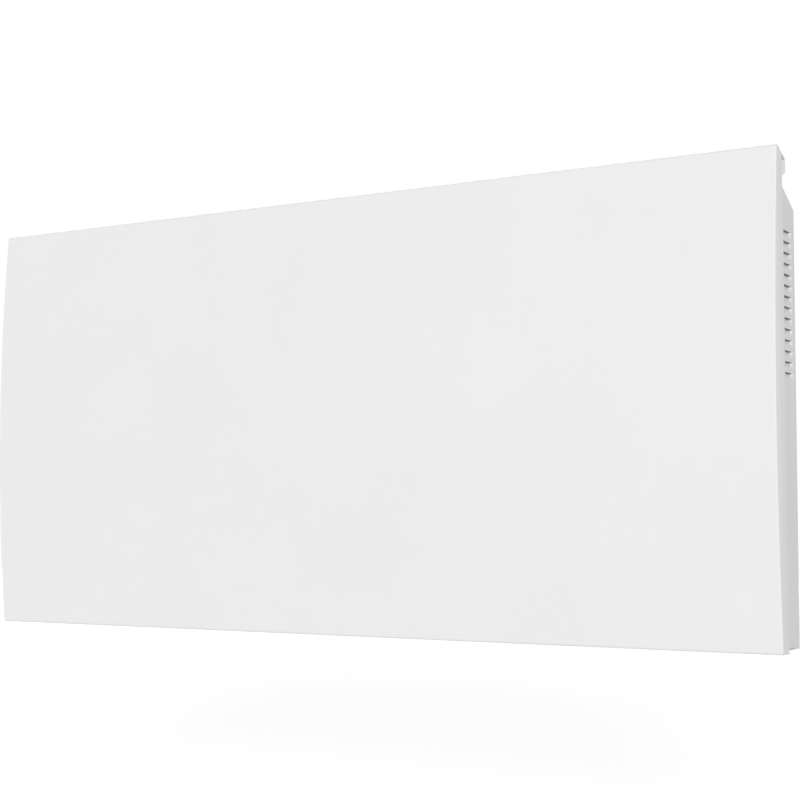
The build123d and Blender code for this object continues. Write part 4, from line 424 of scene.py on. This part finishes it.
def add_piece(name, body, slot, verts, faces, nodes=(), sheet=0.0, smooth=SMOOTH):
    """A mesh given in mm, riding on a body; a surface gets a sheet's thickness inwards."""
    mesh = bpy.data.meshes.new(name)
    mesh.from_pydata([(x * MM, y * MM, (z + Z0) * MM) for x, y, z in verts], [], faces)
    work = bmesh.new()
    work.from_mesh(mesh)
    bmesh.ops.remove_doubles(work, verts=work.verts, dist=MERGE)
    bmesh.ops.recalc_face_normals(work, faces=work.faces)
    work.to_mesh(mesh)
    work.free()
    piece = bpy.data.objects.new(name, mesh)
    bpy.context.scene.collection.objects.link(piece)
    if sheet:
        thick = piece.modifiers.new("thick", "SOLIDIFY")
        thick.thickness = sheet * MM
        thick.offset = -1.0
        thick.use_even_offset = True
        bake(piece)
    piece.data.shade_smooth()
    piece.data.set_sharp_from_angle(angle=math.radians(smooth))
    piece.data.materials.append(materials[slot])
    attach(piece, body)
    if nodes:
        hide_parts(*nodes)


def bake(piece):
    """Turns a piece's modifiers into its mesh."""
    graph = bpy.context.evaluated_depsgraph_get()
    mesh = bpy.data.meshes.new_from_object(piece.evaluated_get(graph))
    piece.modifiers.clear()
    piece.data = mesh


def grid_faces(rows, columns, skip=()):
    """Quads of a grid of points numbered row by row, without the skipped cells."""
    faces = []
    for i in range(rows - 1):
        for j in range(columns - 1):
            if (i, j) not in skip:
                a = i * columns + j
                faces.append((a, a + 1, a + columns + 1, a + columns))
    return faces


def rounded_line(points, radii, step=math.radians(12)):
    """A line through points in a plane, with an arc in place of each corner that has a radius."""
    line = [Vector(points[0])]
    for before, corner, after, radius in zip(points, points[1:], points[2:], radii):
        corner = Vector(corner)
        if not radius:
            line.append(corner)
            continue
        back = (Vector(before) - corner).normalized()
        ahead = (Vector(after) - corner).normalized()
        half = back.angle(ahead) / 2
        centre = corner + (back + ahead).normalized() * (radius / math.sin(half))
        start = corner + back * (radius / math.tan(half)) - centre
        end = corner + ahead * (radius / math.tan(half)) - centre
        count = max(2, math.ceil((math.pi - 2 * half) / step))
        turn = start.angle_signed(end)  # clockwise
        for k in range(count + 1):
            line.append(centre + Matrix.Rotation(-turn * k / count, 2) @ start)
    line.append(Vector(points[-1]))
    return line


def spread_out(start, end, gap):
    """Evenly spaced numbers from start to end, about a gap apart."""
    count = max(1, round(abs(end - start) / gap))
    return [start + (end - start) * k / count for k in range(count + 1)]


# ---------------------------------------------------------------- front panel


def bow(height):
    """Outer Y of the front at a height."""
    return PANEL_CREST + BOW_RADIUS - math.sqrt(BOW_RADIUS**2 - (height - PANEL_HEIGHT / 2) ** 2)


def return_height(y):
    """Height of the top return's outer face at Y."""
    return LIP_TOP + (LIP_Y - y) * math.tan(RETURN_ANGLE)


def control_middle():
    """Y and height of the control strip's middle on the top return."""
    turn = math.pi / 2 - RETURN_ANGLE
    lean = math.asin(PANEL_HEIGHT / 2 / BOW_RADIUS)
    start = PANEL_EDGE + TOP_BEND / math.tan((turn + lean) / 2) * math.cos(RETURN_ANGLE)
    end = LIP_Y - LIP_BEND * math.tan(turn / 2) * math.cos(RETURN_ANGLE)
    y = (start + end) / 2
    return y, return_height(y)


def opening():
    """Y of the control opening's edges."""
    middle = control_middle()[0]
    reach = OPENING_WIDTH / 2 * math.cos(RETURN_ANGLE)
    return middle - reach, middle + reach


def top_corner():
    """Y and height where the front and the top return meet, before their bend."""
    y = bow(return_height(PANEL_EDGE))
    return y, return_height(y)


def panel_line():
    """The panel's outer line in (Y, Z), from the bottom return's edge round to the lip's edge."""
    fore, rear = opening()
    flange_end = [FLANGE_REAR + FLANGE_RELIEF * share for share in (0, 0.5, 1)]
    corners = [(y, 0, 0) for y in (FLANGE_REAR + BOTTOM_REACH, *reversed(flange_end))]
    corners.append((bow(0), 0, BOTTOM_BEND))
    corners += [(bow(z), z, 0) for z in spread_out(BOW_STEP, PANEL_HEIGHT - BOW_STEP, BOW_STEP)]
    corners.append((*top_corner(), TOP_BEND))
    corners += [(y, return_height(y), 0) for y in (fore, *flange_end, rear)]
    corners.append((LIP_Y, LIP_TOP, LIP_BEND))
    corners += [(LIP_Y, LIP_TOP - drop, 0) for drop in (LIP_CORNER * 2, LIP_HEIGHT)]
    return rounded_line([c[:2] for c in corners], [c[2] for c in corners[1:-1]])


def line_normals(line):
    """Outward unit normals at a line's points."""
    normals = []
    for k in range(len(line)):
        run = line[min(k + 1, len(line) - 1)] - line[max(k - 1, 0)]
        normals.append(Vector((-run.y, run.x)).normalized())
    return normals


def panel_columns():
    """X of the panel's columns, with how far each is rolled round the side's bend, in radians."""
    inner = PANEL_HALF - SIDE_BEND
    corner = PANEL_HALF - LIP_CORNER
    rounds = [corner + LIP_CORNER * math.sin(math.radians(a)) for a in CORNER_TURNS] + [inner]
    marks = [-corner, CONTROL_X - OPENING_HALF, CONTROL_X + OPENING_HALF, corner]
    flat = [-x for x in reversed(rounds)]
    for a, b in zip(marks, marks[1:]):
        flat += spread_out(a, b, COLUMN_STEP)[:-1]
    flat += [corner, *rounds]
    rolled = [math.radians(a) for a in ROLL_TURNS]
    right = [(inner + SIDE_BEND * math.sin(a), a) for a in rolled]
    left = [(-x, a) for x, a in reversed(right)]
    return left + [(x, 0.0) for x in flat] + right


def front_panel():
    """Bowed front with rolled upright edges, returns, lip and side flanges, from one sheet."""
    line = panel_line()
    normals = line_normals(line)
    columns = panel_columns()
    verts = []
    for point, normal in zip(line, normals):
        bend = SIDE_BEND if point.x < FLANGE_REAR + NEAR else 0.0
        for x, roll in columns:
            y, z = point - normal * bend * (1 - math.cos(roll))
            past = abs(x) - (PANEL_HALF - LIP_CORNER)
            if point == line[-1] and past > 0:
                z += LIP_CORNER - math.sqrt(max(0.0, LIP_CORNER**2 - past**2))
            verts.append((x, y, z))
    fore, rear = opening()
    skip = set()
    relief = top_relief(line)
    for i, (a, b) in enumerate(zip(line, line[1:])):
        in_opening = a.y > LIP_TOP and fore < (a.x + b.x) / 2 < rear
        for j, ((x0, r0), (x1, r1)) in enumerate(zip(columns, columns[1:])):
            if in_opening and abs((x0 + x1) / 2 - CONTROL_X) < OPENING_HALF:
                skip.add((i, j))
            if i in relief and i + 1 in relief and max(r0, r1) > RELIEF_ROLL:
                skip.add((i, j))
    faces = grid_faces(len(line), len(columns), skip)
    edge = [k for k, point in enumerate(line) if point.x < FLANGE_REAR + NEAR and k not in relief[1:-1]]
    for column in (0, len(columns) - 1):
        flange = [k * len(columns) + column for k in edge]
        faces.append(flange if column else flange[::-1])
    add_piece("front_panel_sheet", "heater", "panel_paint", verts, faces, ("front_panel",), sheet=SHEET)


def top_relief(line):
    """Numbers of the line's points round the top bend, where the flange is cut back."""
    corner = Vector(top_corner())
    return [k for k, point in enumerate(line) if (point - corner).length < TOP_BEND * RELIEF_REACH]


# ---------------------------------------------------------------- rear body


def body_top(y):
    """Height of the rear body's sloped top at Y."""
    return BODY_TOP - (y - FLANGE_REAR) * BODY_SLOPE


def scoop_depth(y, fall):
    """How deep a louvre is pressed in at Y, its fall going from 0 at the mouth to 1 below."""
    along = min(y - LOUVRE_START, LOUVRE_START + LOUVRE_LENGTH - y)
    if along < NEAR:
        return 0.0
    return LOUVRE_DEPTH * min(1.0, along / LOUVRE_END) * (1 - fall**LOUVRE_CURVE)


def tab_notch():
    """Y of the ends of the notch for the base grille's tab."""
    return TAB_ENDS[0] - TAB_GAP, TAB_ENDS[1] + TAB_GAP


def side_plan():
    """The side plate's outer line in (X, Y), from its front edge to its rear flange's edge."""
    end = LOUVRE_START + LOUVRE_LENGTH
    stops = spread_out(LOUVRE_START, LOUVRE_START + LOUVRE_END, LOUVRE_END_STEP)
    stops += spread_out(LOUVRE_START + LOUVRE_END, end - LOUVRE_END, LOUVRE_STEP)[1:]
    stops += spread_out(end - LOUVRE_END, end, LOUVRE_END_STEP)[1:]
    stops += [SIDE_FORE, *tab_notch()]
    points = [(SIDE_X, y) for y in sorted(stops)]
    points += [(SIDE_X, BODY_REAR), (SIDE_X - REAR_FLANGE, BODY_REAR)]
    return rounded_line(points, [0] * (len(points) - 3) + [REAR_BEND])


def side_levels():
    """Rows of the side plate as (height, fall): no fall off the louvres, no height at the sloped top."""
    rows = [(None, None)]
    for k in range(LOUVRE_COUNT):
        top = LOUVRE_TOP - k * LOUVRE_PITCH
        rows.append((top, None))
        rows += [(top - fall * LOUVRE_HEIGHT, fall) for fall in LOUVRE_FALLS]
    return rows + [(NOTCH_TOP, None), (BODY_LIFT, None)]


def side_plate(side):
    """A side plate with its pressed louvres, on the right for side 1 and the left for side -1."""
    plan, rows = side_plan(), side_levels()
    verts = []
    for height, fall in rows:
        for x, y in plan:
            z = body_top(y) if height is None else height
            depth = 0 if fall is None else scoop_depth(y, fall)
            verts.append((side * (x - depth), y, z))
    skip = set()
    fore, rear = tab_notch()
    for i, (upper, lower) in enumerate(zip(rows, rows[1:])):
        mouth = upper[1] is None and lower[1] == 0
        for j, (a, b) in enumerate(zip(plan, plan[1:])):
            in_notch = lower[0] == BODY_LIFT and fore < (a.y + b.y) / 2 < rear
            if mouth or in_notch:
                skip.add((i, j))
    name = "right" if side > 0 else "left"
    faces = grid_faces(len(rows), len(plan), skip)
    if side < 0:
        faces = [face[::-1] for face in faces]
    nodes = ("side_plate_" + name,)
    add_piece("side_sheet_" + name, "heater", "body_paint", verts, faces, nodes, SHEET, SIDE_SMOOTH)


# ---------------------------------------------------------------- grilles


def ring(x, ends, half_x, half_y):
    """Points round a hole in plan, half an oval about each of its two end centres."""
    points = []
    for y, start in zip(ends, (math.pi, 0)):
        for k in range(HALF_TURNS + 1):
            turn = start + math.pi * k / HALF_TURNS
            points.append((x + half_x * math.cos(turn), y + half_y * math.sin(turn)))
    return points


def pierced(outer, hole):
    """Four faces that fill the ground between a loop of points and a hole's ring inside it."""
    step = len(outer) // 4
    nearest = [min(range(len(hole)), key=lambda k: (hole[k] - outer[n * step]).length) for n in range(4)]
    faces = []
    for n in range(4):
        arc = [outer[(n * step + k) % len(outer)] for k in range(step + 1)]
        start, end = nearest[n], nearest[(n + 1) % 4]
        count = (end - start) % len(hole)
        faces.append(arc + [hole[(end - k) % len(hole)] for k in range(count + 1)])
    return faces


def grille(name, node, line, band, columns, holes, tabs=False):
    """A sheet bent along a line in (Y, Z), with holes by their X in the band that starts at a Y."""
    polygons = []
    for a, b in zip(line, line[1:]):
        for x0, x1 in zip(columns, columns[1:]):
            corners = [Vector(c) for c in ((x0, *a), (x1, *a), (x1, *b), (x0, *b))]
            in_band = abs(a.x - band) < NEAR
            hole = holes.get((x0 + x1) / 2) if in_band else None
            if hole:
                rise = (b.y - a.y) / (b.x - a.x)
                polygons += pierced(corners, [Vector((x, y, a.y + (y - a.x) * rise)) for x, y in hole])
            elif tabs and in_band and max(abs(x0), abs(x1)) == LONG_X:
                polygons.append(tabbed(corners, a))
            else:
                polygons.append(corners)
    verts, faces = apart(polygons)
    add_piece(name, "heater", "body_paint", verts, faces, (node,), sheet=SHEET)


def apart(polygons):
    """Points and faces of polygons that share no points yet."""
    verts, faces = [], []
    for polygon in polygons:
        faces.append(tuple(range(len(verts), len(verts) + len(polygon))))
        verts += [tuple(point) for point in polygon]
    return verts, faces


def tabbed(corners, start):
    """An end cell of the base grille with the tab that sits in the side plate's notch."""
    side = 1 if corners[1].x > 0 else -1
    tab = [(side * SIDE_X, start.x), (side * SIDE_X, TAB_ENDS[1]), (side * LONG_X, TAB_ENDS[1])]
    tab = [Vector((x, y, start.y)) for x, y in tab]
    return corners[:2] + tab + corners[2:] if side > 0 else corners + tab[::-1]


def slot_places():
    """X of the grilles' slots."""
    half = SLOT_COUNT // 2
    return [SLOT_PITCH * k for k in range(-half, half + 1)]


def outlet_grille():
    """Sloped top with a row of round-ended slots and a flange down on each side."""
    front, rear = [body_top(y) - SHEET_GAP for y in (GRILLE_FORE, BACK_FRONT)]
    band = (OUTLET_SLOTS[0] - SLOT_EDGE, OUTLET_SLOTS[1] + SLOT_EDGE)
    points = [(GRILLE_FORE, front - STRIP_LAP), (GRILLE_FORE, front)]
    points += [(y, body_top(y) - SHEET_GAP) for y in band]
    points += [(BACK_FRONT, rear), (BACK_FRONT, rear - GRILLE_FLANGE)]
    line = rounded_line(points, [GRILLE_BEND, 0, 0, GRILLE_BEND])
    half_y = SLOT_HALF * math.cos(math.atan(BODY_SLOPE))
    ends = (OUTLET_SLOTS[0] + half_y, OUTLET_SLOTS[1] - half_y)
    places = slot_places()
    columns = [-LONG_X, *[x - SLOT_PITCH / 2 for x in places], places[-1] + SLOT_PITCH / 2, LONG_X]
    holes = {x: ring(x, ends, SLOT_HALF, half_y) for x in places}
    grille("outlet_grille_sheet", "outlet_grille", line, band[0], columns, holes)


def base_grille():
    """Bottom sheet with a row of round-ended slots, the gland's hole and a flange up at the rear."""
    band = (INLET_SLOTS[0] - SLOT_EDGE, INLET_SLOTS[1] + SLOT_EDGE)
    points = [(BASE_FORE, BODY_LIFT), (band[0], BODY_LIFT), (band[1], BODY_LIFT)]
    points += [(BACK_FRONT, BODY_LIFT), (BACK_FRONT, BODY_LIFT + SHEET + GRILLE_FLANGE)]
    line = rounded_line(points, [0, 0, GRILLE_BEND])
    x, y, radius = GLAND
    middle = round((x + SLOT_PITCH / 2) / SLOT_PITCH) * SLOT_PITCH - SLOT_PITCH / 2
    edges = [place - SLOT_PITCH / 2 for place in slot_places()] + [slot_places()[-1] + SLOT_PITCH / 2]
    columns = [-LONG_X, *[edge for edge in edges if edge != middle], LONG_X]
    keep_clear = (-FOOT_X, FOOT_X, x)
    ends = (INLET_SLOTS[0] + SLOT_HALF, INLET_SLOTS[1] - SLOT_HALF)
    holes = {middle: ring(x, (y, y), radius, radius)}
    for place in slot_places():
        if all(abs(place - clear) > INLET_CLEAR for clear in keep_clear):
            holes[place] = ring(place, ends, SLOT_HALF, SLOT_HALF)
    grille("base_grille_sheet", "base_grille", line, band[0], columns, holes, tabs=True)


# ---------------------------------------------------------------- rivets, screws


def islands(node):
    """Lowest and highest corners, in mm, of each separate solid of a CAD node."""
    mesh = frame["nodes"][node].data
    keys = [tuple(round(c, 6) for c in v.co) for v in mesh.vertices]
    lead = {key: key for key in keys}

    def head(key):
        while lead[key] != key:
            key = lead[key]
        return key

    for edge in mesh.edges:
        a, b = [head(keys[v]) for v in edge.vertices]
        lead[a] = b
    groups = {}
    for key in lead:
        groups.setdefault(head(key), []).append(key)
    boxes = []
    for points in groups.values():
        low, high = [Vector([pick(axis) / MM for axis in zip(*points)]) for pick in (min, max)]
        boxes.append((low - Vector((0, 0, Z0)), high - Vector((0, 0, Z0))))
    return sorted(boxes, key=lambda box: tuple(box[0]))


def turned(profile, foot, axis, count=TURNED_SIDES):
    """Faces of a body turned about an axis, its profile given as (radius, place along the axis)."""
    side = Vector((1, 1, 0)) if axis.z else Vector((0, 0, 1))
    side.normalize()
    other = axis.cross(side)
    turns = [2 * math.pi * k / count for k in range(count)]
    loops = []
    for radius, along in profile:
        middle = foot + axis * along
        loops.append([middle + (side * math.cos(a) + other * math.sin(a)) * radius for a in turns])
    faces = []
    for a, b in zip(loops, loops[1:]):
        faces += [[a[k - 1], a[k], b[k], b[k - 1]] for k in range(count)]
    return faces


def rivets(node, body, axis):
    """Domed rivets with a dimple, in place of a node's plain ones."""
    polygons = []
    for low, high in islands(node):
        foot = (low + high) / 2
        length = (high - low).dot(axis)
        radius = (high.z - low.z) / 2
        foot -= axis * length / 2
        dome = [(share * radius, along) for share, along in RIVET_DOME]
        dome.append((RIVET_SHANK * radius, RIVET_HEAD))
        polygons += turned(dome + [(r, length - along) for r, along in reversed(dome)], foot, axis)
    verts, faces = apart(polygons)
    add_piece(node + "_domed", body, "bright_steel", verts, faces, (node,), smooth=TURNED_SMOOTH)


def cross(reach, half):
    """Corner points of a cross, anticlockwise."""
    arm = ((reach, -half), (reach, half), (half, half))
    points = []
    for quarter in range(4):
        turn = Matrix.Rotation(math.pi / 2 * quarter, 2)
        points += [turn @ Vector(p) for p in arm]
    return points


def prism(points, low, high):
    """Faces of an upright block over a ring of points."""
    top, foot = [[Vector((*p, h)) for p in points] for h in (high, low)]
    walls = [[top[k - 1], top[k], foot[k], foot[k - 1]] for k in range(len(points))]
    return [top, foot[::-1]] + walls


def panel_screws():
    """Pan-head screws with a cross recess, up through the base grille."""
    polygons = []
    reach, half, depth = RECESS
    for low, high in islands("panel_screws"):
        foot = Vector(((low.x + high.x) / 2, (low.y + high.y) / 2, low.z))
        length = high.z - low.z
        shank = [(SCREW_SHANK, SCREW_HEAD[-1][1]), (SCREW_SHANK, length - SCREW_TIP[1])]
        profile = [*SCREW_HEAD, *shank, (SCREW_TIP[0], length), (0, length)]
        polygons += turned(profile, foot, Vector((0, 0, 1)))
        recess = [foot + Vector((*point, 0)) for point in cross(reach, half)]
        polygons += pierced(rim_loop(foot, SCREW_HEAD[0][0]), recess)
        floor = [point + Vector((0, 0, depth)) for point in recess]
        polygons += [[recess[k - 1], recess[k], floor[k], floor[k - 1]] for k in range(len(recess))]
        polygons.append(floor)
    verts, faces = apart(polygons)
    nodes = ("panel_screws",)
    add_piece("panel_screws_cross", "heater", "bright_steel", verts, faces, nodes, smooth=TURNED_SMOOTH)


def rim_loop(foot, radius):
    """Points round a turned body's first loop, anticlockwise from the corner between two axes."""
    turns = [math.pi / 4 + 2 * math.pi * k / TURNED_SIDES for k in range(TURNED_SIDES)]
    return [foot + Vector((math.cos(a), math.sin(a), 0)) * radius for a in turns]


# ---------------------------------------------------------------- marks on the controls


def on_control(points):
    """Points given along the control strip, across it to the wall and out of it, now in X, Y and Z."""
    y, z = control_middle()
    fall, run = math.sin(RETURN_ANGLE), math.cos(RETURN_ANGLE)
    out = []
    for x, across, height in points:
        out.append((CONTROL_X + x, y + across * run + height * fall, z - across * fall + height * run))
    return out


def on_rocker(points):
    """Points given along the rocker, across it and out of its V-shaped face, at rest."""
    out = []
    for x, across, height in points:
        level = ROCKER_VALLEY + (ROCKER_CREST - ROCKER_VALLEY) * abs(x) / ROCKER_HALF + height
        turned_x = x * math.cos(ROCKER_SWING) + level * math.sin(ROCKER_SWING)
        turned_level = level * math.cos(ROCKER_SWING) - x * math.sin(ROCKER_SWING)
        out.append((ROCKER_X + turned_x, across, ROCKER_PIVOT + turned_level))
    return on_control(out)


def bar(x, y, half_x, half_y):
    """Corner points of a bar, anticlockwise."""
    return [(x + i * half_x, y + j * half_y) for i, j in ((-1, -1), (1, -1), (1, 1), (-1, 1))]


def hoop(x, y, radius, half):
    """Faces of a raised ring."""
    profile = [(radius - half, -INK), (radius - half, INK), (radius + half, INK), (radius + half, -INK)]
    return turned(profile + profile[:1], Vector((x, y, 0)), Vector((0, 0, 1)), RING_SIDES)


def mark(name, body, polygons, place, height=0.0):
    """Printed marks, each face's points given in the face's own frame."""
    lifted = [[(x, y, z + height) for x, y, z in polygon] for polygon in polygons]
    verts, faces = apart([place(polygon) for polygon in lifted])
    add_piece(name, body, "grey_plastic", verts, faces)


def key_marks():
    """Minus, plus and three bars on the keys."""
    shapes = {
        "minus": [bar(0, 0, SIGN_REACH, SIGN_HALF)],
        "plus": [cross(SIGN_REACH, SIGN_HALF)],
        "mode": [bar(0, level * MODE_STEP, *MODE_BAR) for level in (-1, 0, 1)],
    }
    for key, rings in shapes.items():
        polygons = []
        for points in rings:
            polygons += prism([(KEY_PLACES[key] + x, y) for x, y in points], -INK, INK)
        mark("mark_" + key, "button_" + key, polygons, on_control, KEY_TOP)


def rocker_marks():
    """A bar at the on end and a ring at the off end."""
    polygons = prism(bar(-ROCKER_MARK, 0, *ON_BAR), -INK, INK) + hoop(ROCKER_MARK, 0, *OFF_RING)
    mark("mark_rocker", "power_rocker", polygons, on_rocker)


def display_marks():
    """The unlit segments of two digits and a degree ring."""
    width, height = DIGIT
    polygons = hoop(DISPLAY_X + DEGREE_X, height / 2 - DEGREE_RING[0], *DEGREE_RING)
    level_half = width / 2 - SEGMENT_GAPS[0]
    upright_half = height / 4 - SEGMENT_GAPS[1]
    for start in DIGIT_STARTS:
        x = DISPLAY_X + start
        bars = [bar(x + width / 2, row * height / 2, level_half, SEGMENT_HALF) for row in (-1, 0, 1)]
        for column in (0, 1):
            for row in (-1, 1):
                bars.append(bar(x + column * width, row * height / 4, SEGMENT_HALF, upright_half))
        for points in bars:
            polygons += prism(points, -INK, INK)
    mark("display_segments", "heater", polygons, on_control, LENS_TOP)


def dress_nodes(materials):
    """Puts its slot's material on each node that comes from the CAD model."""
    slots = {s["node"]: s["material_slot"] for s in frame["record"]["subparts"]}
    for name, node in frame["nodes"].items():
        node.data.materials.clear()
        node.data.materials.append(materials[slots[name]])


bpy.context.scene.view_settings.view_transform = "Standard"
make_camera()
make_world()
make_floor()
for light, (place, side, power) in LIGHTS.items():
    area_light(light, place, side, power)
materials = make_materials()
dress_nodes(materials)
front_panel()
side_plate(1)
side_plate(-1)
outlet_grille()
base_grille()
rivets("body_rivets", "heater", Vector((0, 1, 0)))
rivets("element_rivets", "heater", Vector((0, 1, 0)))
rivets("bracket_rivets", "wall_bracket", Vector((1, 0, 0)))
panel_screws()
key_marks()
rocker_marks()
display_marks()
